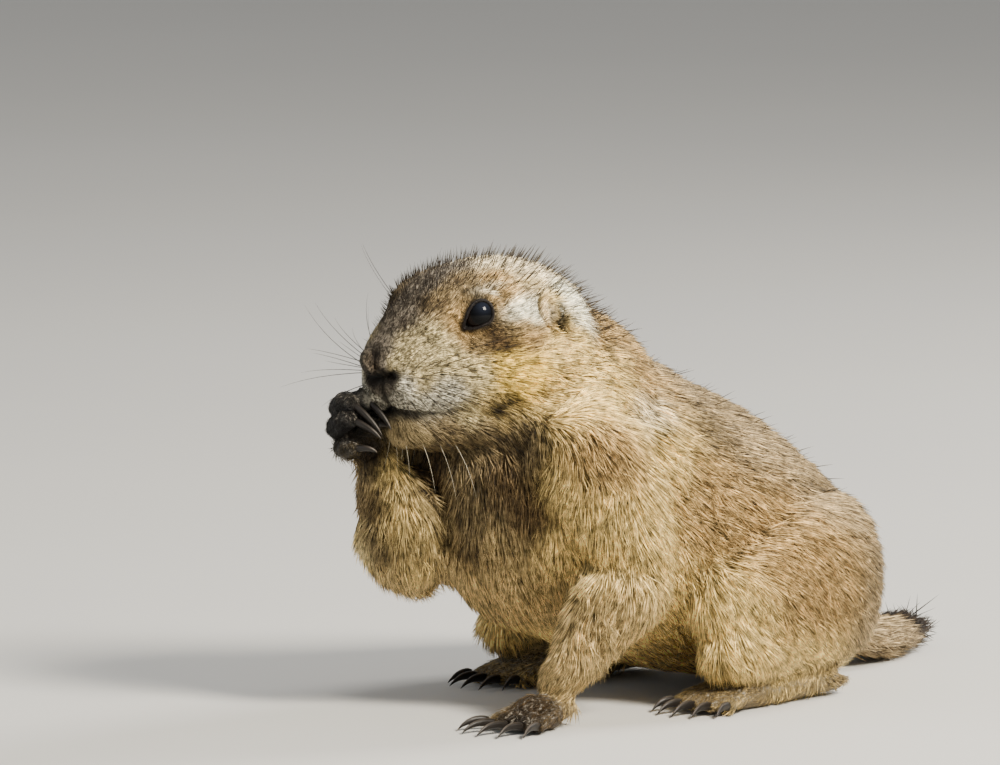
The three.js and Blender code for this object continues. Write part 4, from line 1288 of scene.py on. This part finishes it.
class GrowCoat(bpy.types.Operator):
    """Grows the short coat all over the skin, in tufts that follow its lie"""

    bl_idname = "prairie_dog.coat"
    bl_label = "Coat"

    def execute(self, context):
        if SKIN.points is None:
            raise RuntimeError("make the skin before the coat")
        settings = context.scene.prairie_coat
        material = coat_material(settings)
        length = SKIN.length * settings.length
        density = settings.layers / (0.5 * tuft_width(length) * length)
        under = (SKIN.normals[:, 2] < -0.5) & (SKIN.points[:, 2] < 14 * MM)
        bare = on_nodes(SKIN.owners, BARE_NODES)
        density *= np.where(under, 0.15, 1) * np.where(bare, 0.14, 1) * (1 - 0.95 * SKIN.naked)
        for _, distance, outside, _ in round_eyes(SKIN.points):
            density *= np.where((distance < 9 * MM) & (outside < 0.12), 0, 1)
        lateral = in_head(SKIN.points)[0][:, 0]
        for index, (name, nodes) in enumerate(COAT_PIECES.items()):
            side = {"coat_head_left": 1, "coat_head_right": -1}.get(name, 0)
            here = density * (np.where(lateral * side >= 0, 1, 0) if side else 1)
            rng = np.random.default_rng(COAT_SEED + index)
            mesh = self.grown(name, Roots(nodes, here, rng), settings, rng)
            shown(name, mesh, material)
        return {"FINISHED"}

    def grown(self, name, roots, settings, rng):
        """The tufts of one piece, which sway, lean together in locks and differ a little."""
        lift, dark = roots.of(SKIN.lift), roots.of(SKIN.dark)
        length = roots.of(SKIN.length) * settings.length
        reach = np.clip(length / (8 * MM), 0.25, 1)
        lean = sway(roots.points, *SLOW_SWAY) + 0.6 * sway(roots.points, *QUICK_SWAY)
        lie = roots.of(SKIN.lie) + lean * (settings.clumping * reach)[:, None]
        locks = 0.35 + 0.35 * reach
        lie = lie + gathered(roots.points, length, locks[:, None], 26, rng)
        lie = lie + rng.normal(0, 0.1, (roots.count, 3))
        lift = lift * rng.uniform(0.55, 1.35, roots.count)
        length = length * rng.uniform(0.72, 1.22, roots.count)
        flecked = rng.random(roots.count) < dark
        width = tuft_width(length) * rng.uniform(0.75, 1.2, roots.count)
        width *= np.where(flecked, 0.75, 1)
        tone = np.clip(rng.normal(0.5, 0.28, roots.count), 0, 1)
        tipped = np.where(flecked, rng.uniform(0.55, 1.0, roots.count), 0.5 * dark)
        shape = (length, width, 0.75 * lift, 0.45 * lift)
        return tufts(name, roots, lie, *shape, roots.of(SKIN.colour), (tone, tipped))


class GrowGuardHairs(bpy.types.Operator):
    """Grows the long dark-tipped hairs that stand out of the crown, nape and back"""

    bl_idname = "prairie_dog.guard_hairs"
    bl_label = "Guard hairs"

    def execute(self, context):
        settings = context.scene.prairie_coat
        material = bpy.data.materials["coat_tufts"]
        upward = smoothstep(0.1, 0.75, SKIN.normals[:, 2])
        behind = in_head(SKIN.points)[0][:, 1]
        crown = smoothstep(5, 12, behind) * (0.45 + 0.55 * bell(behind - 20, 14))
        for index, (name, (nodes, most, longer, least)) in enumerate(GUARD_HAIRS.items()):
            rng = np.random.default_rng(GUARD_SEED + index)
            roots = Roots(nodes, upward * most / MM**2 * crown, rng)
            lie = roots.of(SKIN.lie) + rng.normal(0, 0.35, (roots.count, 3))
            length = roots.of(SKIN.length) * settings.length * longer
            length *= rng.uniform(0.7, 1.3, roots.count)
            width = np.full(roots.count, 0.11 * MM)
            lift = np.radians(rng.uniform(least, least + 26, roots.count))
            colour = roots.of(SKIN.colour) * 0.35
            strand = (rng.uniform(0.2, 0.8, roots.count), rng.uniform(0.75, 1.0, roots.count))
            shape = (length, width, lift, 0.88 * lift)
            shown(name, tufts(name, roots, lie, *shape, colour, strand), material)
        return {"FINISHED"}


# The cornea's edge, as a share of the way from the eye's middle to its front, and how far its
# middle stands out, as a share of the eye's radius.
CORNEA_EDGE = 0.55
CORNEA_BULGE = 0.045

# Where a reflection of the sky is painted on the eyes, and how sharply it fades round the place.
SKY_REFLECTION_AIM = Vector((0.78, -0.42, 0.46)).normalized()
SKY_FADE = 14


class MakeEyes(bpy.types.Operator):
    """Makes the wet dark eyeballs with their bulging corneas"""

    bl_idname = "prairie_dog.eyes"
    bl_label = "Eyes"

    def execute(self, context):
        settings = context.scene.prairie_face
        material = eye_material(settings)
        for word, side in SIDES.items():
            centre, aim, _, _ = eye_axes(side)
            turn = aim.to_track_quat("Z", "Y").to_matrix()
            ball = bmesh.new()
            bmesh.ops.create_uvsphere(ball, u_segments=64, v_segments=40, radius=1.0)
            facing, bloom = [], []
            for vertex in ball.verts:
                front = max(0.0, vertex.co.z)
                facing.append(front)
                # The painted sky reflection is strongest towards a fixed direction and fades away
                # from it.
                bloom.append(max(0.0, SKY_REFLECTION_AIM.dot(turn @ vertex.co)) ** SKY_FADE)
                bulge = 1 + CORNEA_BULGE * max(0.0, front - CORNEA_EDGE) / (1 - CORNEA_EDGE)
                vertex.co = centre + turn @ vertex.co * settings.eye_radius * bulge
            mesh = mesh_of(f"eyeball_{word}", ball)
            store(mesh, "facing", np.array(facing))
            store(mesh, "bloom", np.array(bloom))
            shown(f"eyeball_{word}", mesh, material, (f"eye_{word}",))
        return {"FINISHED"}


def swept_ring(steps, sides, place):
    """A closed ring of tube whose points are given by place(turn, through)."""
    ring = bmesh.new()
    profile = bmesh.ops.create_circle(ring, segments=sides, radius=0.25)["verts"]
    bmesh.ops.translate(ring, verts=profile, vec=(1, 0, 0))
    edges = ring.edges[:]
    flat = Matrix.Rotation(math.radians(90), 3, "X")
    bmesh.ops.rotate(ring, verts=profile, cent=(1, 0, 0), matrix=flat)
    spin = {"cent": (0, 0, 0), "axis": (0, 0, 1), "angle": 2 * math.pi, "steps": steps}
    bmesh.ops.spin(ring, geom=profile + edges, use_merge=True, **spin)
    bmesh.ops.remove_doubles(ring, verts=ring.verts[:], dist=1e-5)
    for vertex in ring.verts:
        x, y, z = vertex.co
        turn = math.atan2(y, x)
        through = math.atan2(z, math.hypot(x, y) - 1)
        vertex.co = place(turn, through)
    bmesh.ops.recalc_face_normals(ring, faces=ring.faces[:])
    return ring


class MakeLids(bpy.types.Operator):
    """Makes the bare dark rims of the lids, drawn out to a corner towards the nose"""

    bl_idname = "prairie_dog.lids"
    bl_label = "Lids"

    def execute(self, context):
        settings = context.scene.prairie_face
        radius = settings.eye_radius
        material = leather_material("lid_rim", settings.lid, 2600, 0.35)
        for word, side in SIDES.items():
            centre, aim, forward, up = eye_axes(side)

            def place(turn, through):
                """Where the rim is, by the turn round the eye and the turn round the rim."""
                upper = 0.5 + 0.5 * math.sin(turn)
                width = settings.lid_width * (0.9 + 0.2 * upper)
                opening, out = lid_edge(turn)
                lean = opening + width / radius / 2 * (1 + math.sin(through))
                reach = radius + out + (0.2 + (0.5 + 0.2 * upper) * math.cos(through)) * MM
                level = forward * math.cos(turn) + up * math.sin(turn)
                return centre + (aim * math.cos(lean) + level * math.sin(lean)) * reach

            mesh = mesh_of(f"lids_{word}", swept_ring(96, 14, place))
            shown(f"lids_{word}", mesh, material, (f"eyelids_{word}",))
        return {"FINISHED"}


class MakeNose(bpy.types.Operator):
    """Makes the bare nose pad with its wings, middle cleft and nostrils"""

    bl_idname = "prairie_dog.nose"
    bl_label = "Nose"

    def execute(self, context):
        settings = context.scene.prairie_face
        pad = bmesh.new()
        bmesh.ops.create_uvsphere(pad, u_segments=96, v_segments=64, radius=1.0)
        ball = np.array([tuple(v.co) for v in pad.verts])
        points = ball * NOSE_HALVES + NOSE_PLACE
        normals = unit(ball / NOSE_HALVES)
        folded = fold(points)
        side = folded[:, 0]
        front = smoothstep(0.2, -0.4, ball[:, 1])
        wing = bell(side - 2.6, 1.7) * bell(points[:, 2] + 1.6, 3.0)
        cleft = bell(side, 0.75) * front
        hollow = bell(line_gap(folded, FACE_LINES["nostril"]), 0.9)
        points = points + normals * (0.6 * wing * front - 0.8 * cleft - 1.4 * hollow)[:, None]
        for vertex, point in zip(pad.verts, points):
            vertex.co = placed(point, HEAD)
        mesh = mesh_of("nose_pad", pad)
        material = leather_material("nose_leather", settings.bare, 1500, 0.45)
        shown("nose_pad", mesh, material, ("nose",))
        if SKIN.points is not None:
            SKIN.add(mesh, np.clip(2 * hollow + (ball[:, 1] > 0.3), 0, 1))
        return {"FINISHED"}


def tapered(line, radii, sides):
    """A closed tapering tube along a line of places, extruded ring by ring."""
    tube = bmesh.new()
    normal = (line[1] - line[0]).normalized()
    spot = normal.to_track_quat("Z", "Y")
    circle = bmesh.ops.create_circle(tube, cap_ends=True, segments=sides, radius=radii[0])
    ring = circle["verts"]
    bmesh.ops.rotate(tube, verts=ring, cent=(0, 0, 0), matrix=spot.to_matrix())
    bmesh.ops.translate(tube, verts=ring, vec=line[0])
    edges = tube.edges[:]
    for index in range(1, len(line)):
        made = bmesh.ops.extrude_edge_only(tube, edges=edges)["geom"]
        ring = [item for item in made if isinstance(item, bmesh.types.BMVert)]
        edges = [item for item in made if isinstance(item, bmesh.types.BMEdge)]
        edges = [edge for edge in edges if all(v in ring for v in edge.verts)]
        ahead = line[min(index + 1, len(line) - 1)] - line[index - 1]
        turn = normal.rotation_difference(ahead.normalized())
        share = radii[index] / radii[index - 1]
        for vertex in ring:
            offset = (vertex.co - line[index - 1]) * share
            vertex.co = line[index] + turn @ offset
        normal = ahead.normalized()
    bmesh.ops.contextual_create(tube, geom=edges)
    bmesh.ops.recalc_face_normals(tube, faces=tube.faces[:])
    return tube


def nearest_place(place, line):
    """The number of the place of a line that is nearest."""
    return min(range(len(line)), key=lambda i: (place - line[i]).length)


# The thickness of a claw from its root to its tip, as shares of its thickness at the root.
CLAW_TAPER = [1.0, 1.06, 1.0, 0.92, 0.82, 0.7, 0.57, 0.43, 0.27, 0.06]


class MakeClaws(bpy.types.Operator):
    """Makes the long curved digging claws, each along its own node"""

    bl_idname = "prairie_dog.claws"
    bl_label = "Claws"

    def execute(self, context):
        settings = context.scene.prairie_claw
        material = claw_material(settings)
        radii = [settings.thickness * share for share in CLAW_TAPER]
        for paw in BARE_NODES:
            deepen = 1.5 if paw == "hand_right" else 0.8
            names = [f"claw_{paw}_{digit}" for digit in range(1, 6)]
            whole = bmesh.new()
            horn = []
            for digit, name in enumerate(names, 1):
                line, out = self.line_of(name, paw)
                claw = tapered(line, radii, 12)
                for vertex in claw.verts:
                    nearest = nearest_place(vertex.co, line)
                    offset = vertex.co - line[nearest]
                    rise = offset.dot(out)
                    around = 0.5 + 0.5 * rise / max(offset.length, 1e-9)
                    horn.append((nearest / (len(line) - 1), around, digit * 3.0))
                    vertex.co += out * rise * (0.15 if rise > 0 else deepen)
                join(whole, claw)
            mesh = mesh_of(f"claws_{paw}", whole)
            store(mesh, "horn", np.array(horn))
            shown(f"claws_{paw}", mesh, material, names)
        return {"FINISHED"}

    def line_of(self, name, paw):
        """Places along the middle of a claw's node, and the direction of its arched ridge."""
        points = corners_of(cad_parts[name].data)[0]
        palm = corners_of(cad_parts[paw].data)[0].mean(0)
        tip = points[np.linalg.norm(points - palm, axis=1).argmax()]
        away = np.linalg.norm(points - tip, axis=1)
        root = points[away > 0.8 * away.max()].mean(0)
        middle = points[(away > 0.35 * away.max()) & (away < 0.65 * away.max())].mean(0)
        root, middle, tip = Vector(root), Vector(middle), Vector(tip)
        bow = middle - (root + tip) / 2
        control = middle + bow * 0.9
        shares = np.linspace(-0.12, 1, len(CLAW_TAPER))
        weights = [((1 - s) ** 2, 2 * s * (1 - s), s**2) for s in shares]
        return [root * a + control * b + tip * c for a, b, c in weights], bow.normalized()


# Whisker roots on the left side of the head, the direction that they leave in, and their length
# in mm. Each row on the lip goes on backwards from its root.
WHISKER_ROWS = [
    ((8.0, 3.6, -4.6), (0.75, -0.45, 0.35), 22),
    ((9.2, 5.2, -6.8), (0.8, -0.4, 0.15), 26),
    ((8.6, 4.4, -10.2), (0.8, -0.42, -0.1), 24),
    ((9.4, 5.6, -12.8), (0.8, -0.35, -0.3), 20),
]

# The same for the few over the eye and on the cheek.
BROW_WHISKERS = [
    ((9.0, 18.0, 11.2), (0.3, -0.35, 0.9), 20),
    ((10.5, 20.0, 11.2), (0.4, -0.2, 0.95), 22),
    ((17.5, 20.5, -8.0), (0.9, 0.1, -0.2), 16),
]

# The same for the long pale hairs under the chin.
CHIN_HAIRS = [
    ((3.0, 6.0, -24.5), (0.15, 0.05, -1.0), 8),
    ((6.0, 9.0, -26.0), (0.2, 0.1, -1.0), 13),
    ((8.0, 13.0, -27.5), (0.25, 0.1, -1.0), 15),
    ((9.5, 17.0, -29.0), (0.3, 0.15, -1.0), 13),
]

# Thickness at the root, of whiskers and of the pale hairs, and what is left of it at the tip.
WHISKER_RADIUS = 0.12 * MM
PALE_RADIUS = 0.045 * MM
TIP_RADIUS = 0.012 * MM

# The places along a hair, as shares of its length. The first one lies in the skin.
HAIR_SHARES = np.linspace(-0.04, 1, 9)


class GrowWhiskers(bpy.types.Operator):
    """Sets the whiskers in rows on the lips, and a few over the eyes and on the cheeks"""

    bl_idname = "prairie_dog.whiskers"
    bl_label = "Whiskers"

    def execute(self, context):
        settings = context.scene.prairie_face
        rng = np.random.default_rng(WHISKER_SEED)
        tree = BVHTree.FromPolygons(SKIN.points.tolist(), SKIN.corners.tolist())
        whole = bmesh.new()
        strand = []
        for side in SIDES.values():
            rows = CHIN_HAIRS + BROW_WHISKERS
            for index in range(settings.whiskers - len(BROW_WHISKERS)):
                place, heading, size = WHISKER_ROWS[index % len(WHISKER_ROWS)]
                back = index // len(WHISKER_ROWS)
                x, y, z = place
                place = (x + back * 1.1, y + back * 2.1, z - back * 0.25)
                a, b, c = heading
                rows.append((place, (a + 0.02 * back, b + 0.16 * back, c), size + 1.5 * back))
            for row, (place, heading, size) in enumerate(rows):
                pale = row < len(CHIN_HAIRS)
                root = tree.find_nearest(placed(place, HEAD, side))[0]
                heading = headed(Vector(heading) + Vector(rng.normal(0, 0.1, 3)), HEAD, side)
                size = size * rng.uniform(0.8, 1.25) * MM
                aim = -0.8 if pale else 0.9
                droop = headed((0, aim, -0.5 + rng.normal(0, 0.3)), HEAD) * size * 0.26
                line = [root + heading * size * s + droop * s * s for s in HAIR_SHARES]
                thick = PALE_RADIUS if pale else WHISKER_RADIUS
                radii = [thick * (1 - max(s, 0)) ** 0.8 + TIP_RADIUS for s in HAIR_SHARES]
                hair = tapered(line, radii, 3)
                tone = 1.0 if pale else rng.random() * 0.9
                for vertex in hair.verts:
                    along = nearest_place(vertex.co, line) / (len(line) - 1)
                    strand.append((along, tone, 1.0))
                join(whole, hair)
        mesh = mesh_of("whiskers", whole)
        store(mesh, "strand", np.array(strand))
        shown("whiskers", mesh, whisker_material())
        return {"FINISHED"}


class SetStage(bpy.types.Operator):
    """Sets the pale floor, the soft light and the camera"""

    bl_idname = "prairie_dog.stage"
    bl_label = "Stage"

    def execute(self, context):
        settings = context.scene.prairie_stage
        ground = bmesh.new()
        bmesh.ops.create_circle(ground, cap_ends=True, segments=96, radius=12.0)
        mesh = mesh_of("floor", ground)
        mesh.materials.append(floor_material(settings))
        floor = bpy.data.objects.new("floor", mesh)
        context.collection.objects.link(floor)
        self.lit(context, settings)
        self.filmed(context, settings)
        return {"FINISHED"}

    def lit(self, context, settings):
        """A key light from the animal's left, a weak fill from its front and one from behind."""
        world = bpy.data.worlds.new("studio")
        world.use_nodes = True
        background = world.node_tree.nodes["Background"]
        background.inputs["Color"].default_value = (0.86, 0.87, 0.88, 1)
        background.inputs["Strength"].default_value = 0.42
        context.scene.world = world
        aim = placed((0, 26, 60))
        lights = {
            "key": (Vector((1.41, -0.14, 1.11)), 0.45, settings.key, (1.0, 0.93, 0.8)),
            "fill": (Vector((-0.5, -1.3, 0.6)), 0.9, settings.fill, (0.86, 0.92, 1.0)),
            "rim": (Vector((0.2, 1.3, 0.95)), 0.5, settings.key * 0.3, (1.0, 0.97, 0.92)),
        }
        for name, (place, size, power, colour) in lights.items():
            lamp = bpy.data.lights.new(name, "AREA")
            lamp.size, lamp.energy, lamp.color = size, power, colour
            light = bpy.data.objects.new(name, lamp)
            light.location = place
            light.rotation_mode = "QUATERNION"
            light.rotation_quaternion = (aim - place).to_track_quat("-Z", "Y")
            context.collection.objects.link(light)

    def filmed(self, context, settings):
        """The camera looks at the left cheek from 45 degrees round and 6 above the floor."""
        around, above = math.radians(45), math.radians(6)
        level = math.cos(above)
        back = Vector((math.sin(around) * level, -math.cos(around) * level, math.sin(above)))
        target = placed((-10.74, 2.82, 91.3))
        lens = bpy.data.cameras.new("camera")
        lens.sensor_width = 36.0
        frame_width = 0.28
        lens.lens = lens.sensor_width * settings.distance / frame_width
        lens.clip_start, lens.clip_end = 0.1, 60.0
        camera = bpy.data.objects.new("camera", lens)
        camera.location = target + back * settings.distance
        camera.rotation_mode = "QUATERNION"
        camera.rotation_quaternion = (-back).to_track_quat("-Z", "Y")
        context.collection.objects.link(camera)
        context.scene.camera = camera


OPERATORS = (
    MakeSkin,
    MakeEyes,
    MakeLids,
    MakeNose,
    MakeClaws,
    GrowCoat,
    GrowGuardHairs,
    GrowWhiskers,
    SetStage,
)
GROUPS = {
    "prairie_coat": CoatSettings,
    "prairie_face": FaceSettings,
    "prairie_claw": ClawSettings,
    "prairie_stage": StageSettings,
}


class PrairieDogPanel(bpy.types.Panel):
    """Lists the pieces of the prairie dog and their settings"""

    bl_idname = "VIEW3D_PT_prairie_dog"
    bl_label = "Prairie Dog"
    bl_space_type = "VIEW_3D"
    bl_region_type = "UI"
    bl_category = "Prairie Dog"

    def draw(self, context):
        for operator in OPERATORS:
            self.layout.operator(operator.bl_idname)
        for name, group in GROUPS.items():
            box = self.layout.box()
            for key in group.__annotations__:
                box.prop(getattr(context.scene, name), key)


def register():
    for group in GROUPS.values():
        bpy.utils.register_class(group)
    for name, group in GROUPS.items():
        setattr(bpy.types.Scene, name, PointerProperty(type=group))
    for item in (*OPERATORS, PrairieDogPanel):
        bpy.utils.register_class(item)


def unregister():
    for item in (PrairieDogPanel, *reversed(OPERATORS)):
        bpy.utils.unregister_class(item)
    for name in GROUPS:
        delattr(bpy.types.Scene, name)
    for group in GROUPS.values():
        bpy.utils.unregister_class(group)


def main():
    register()
    for operator in OPERATORS:
        category, name = operator.bl_idname.split(".")
        getattr(getattr(bpy.ops, category), name)()


if __name__ == "__main__":
    main()
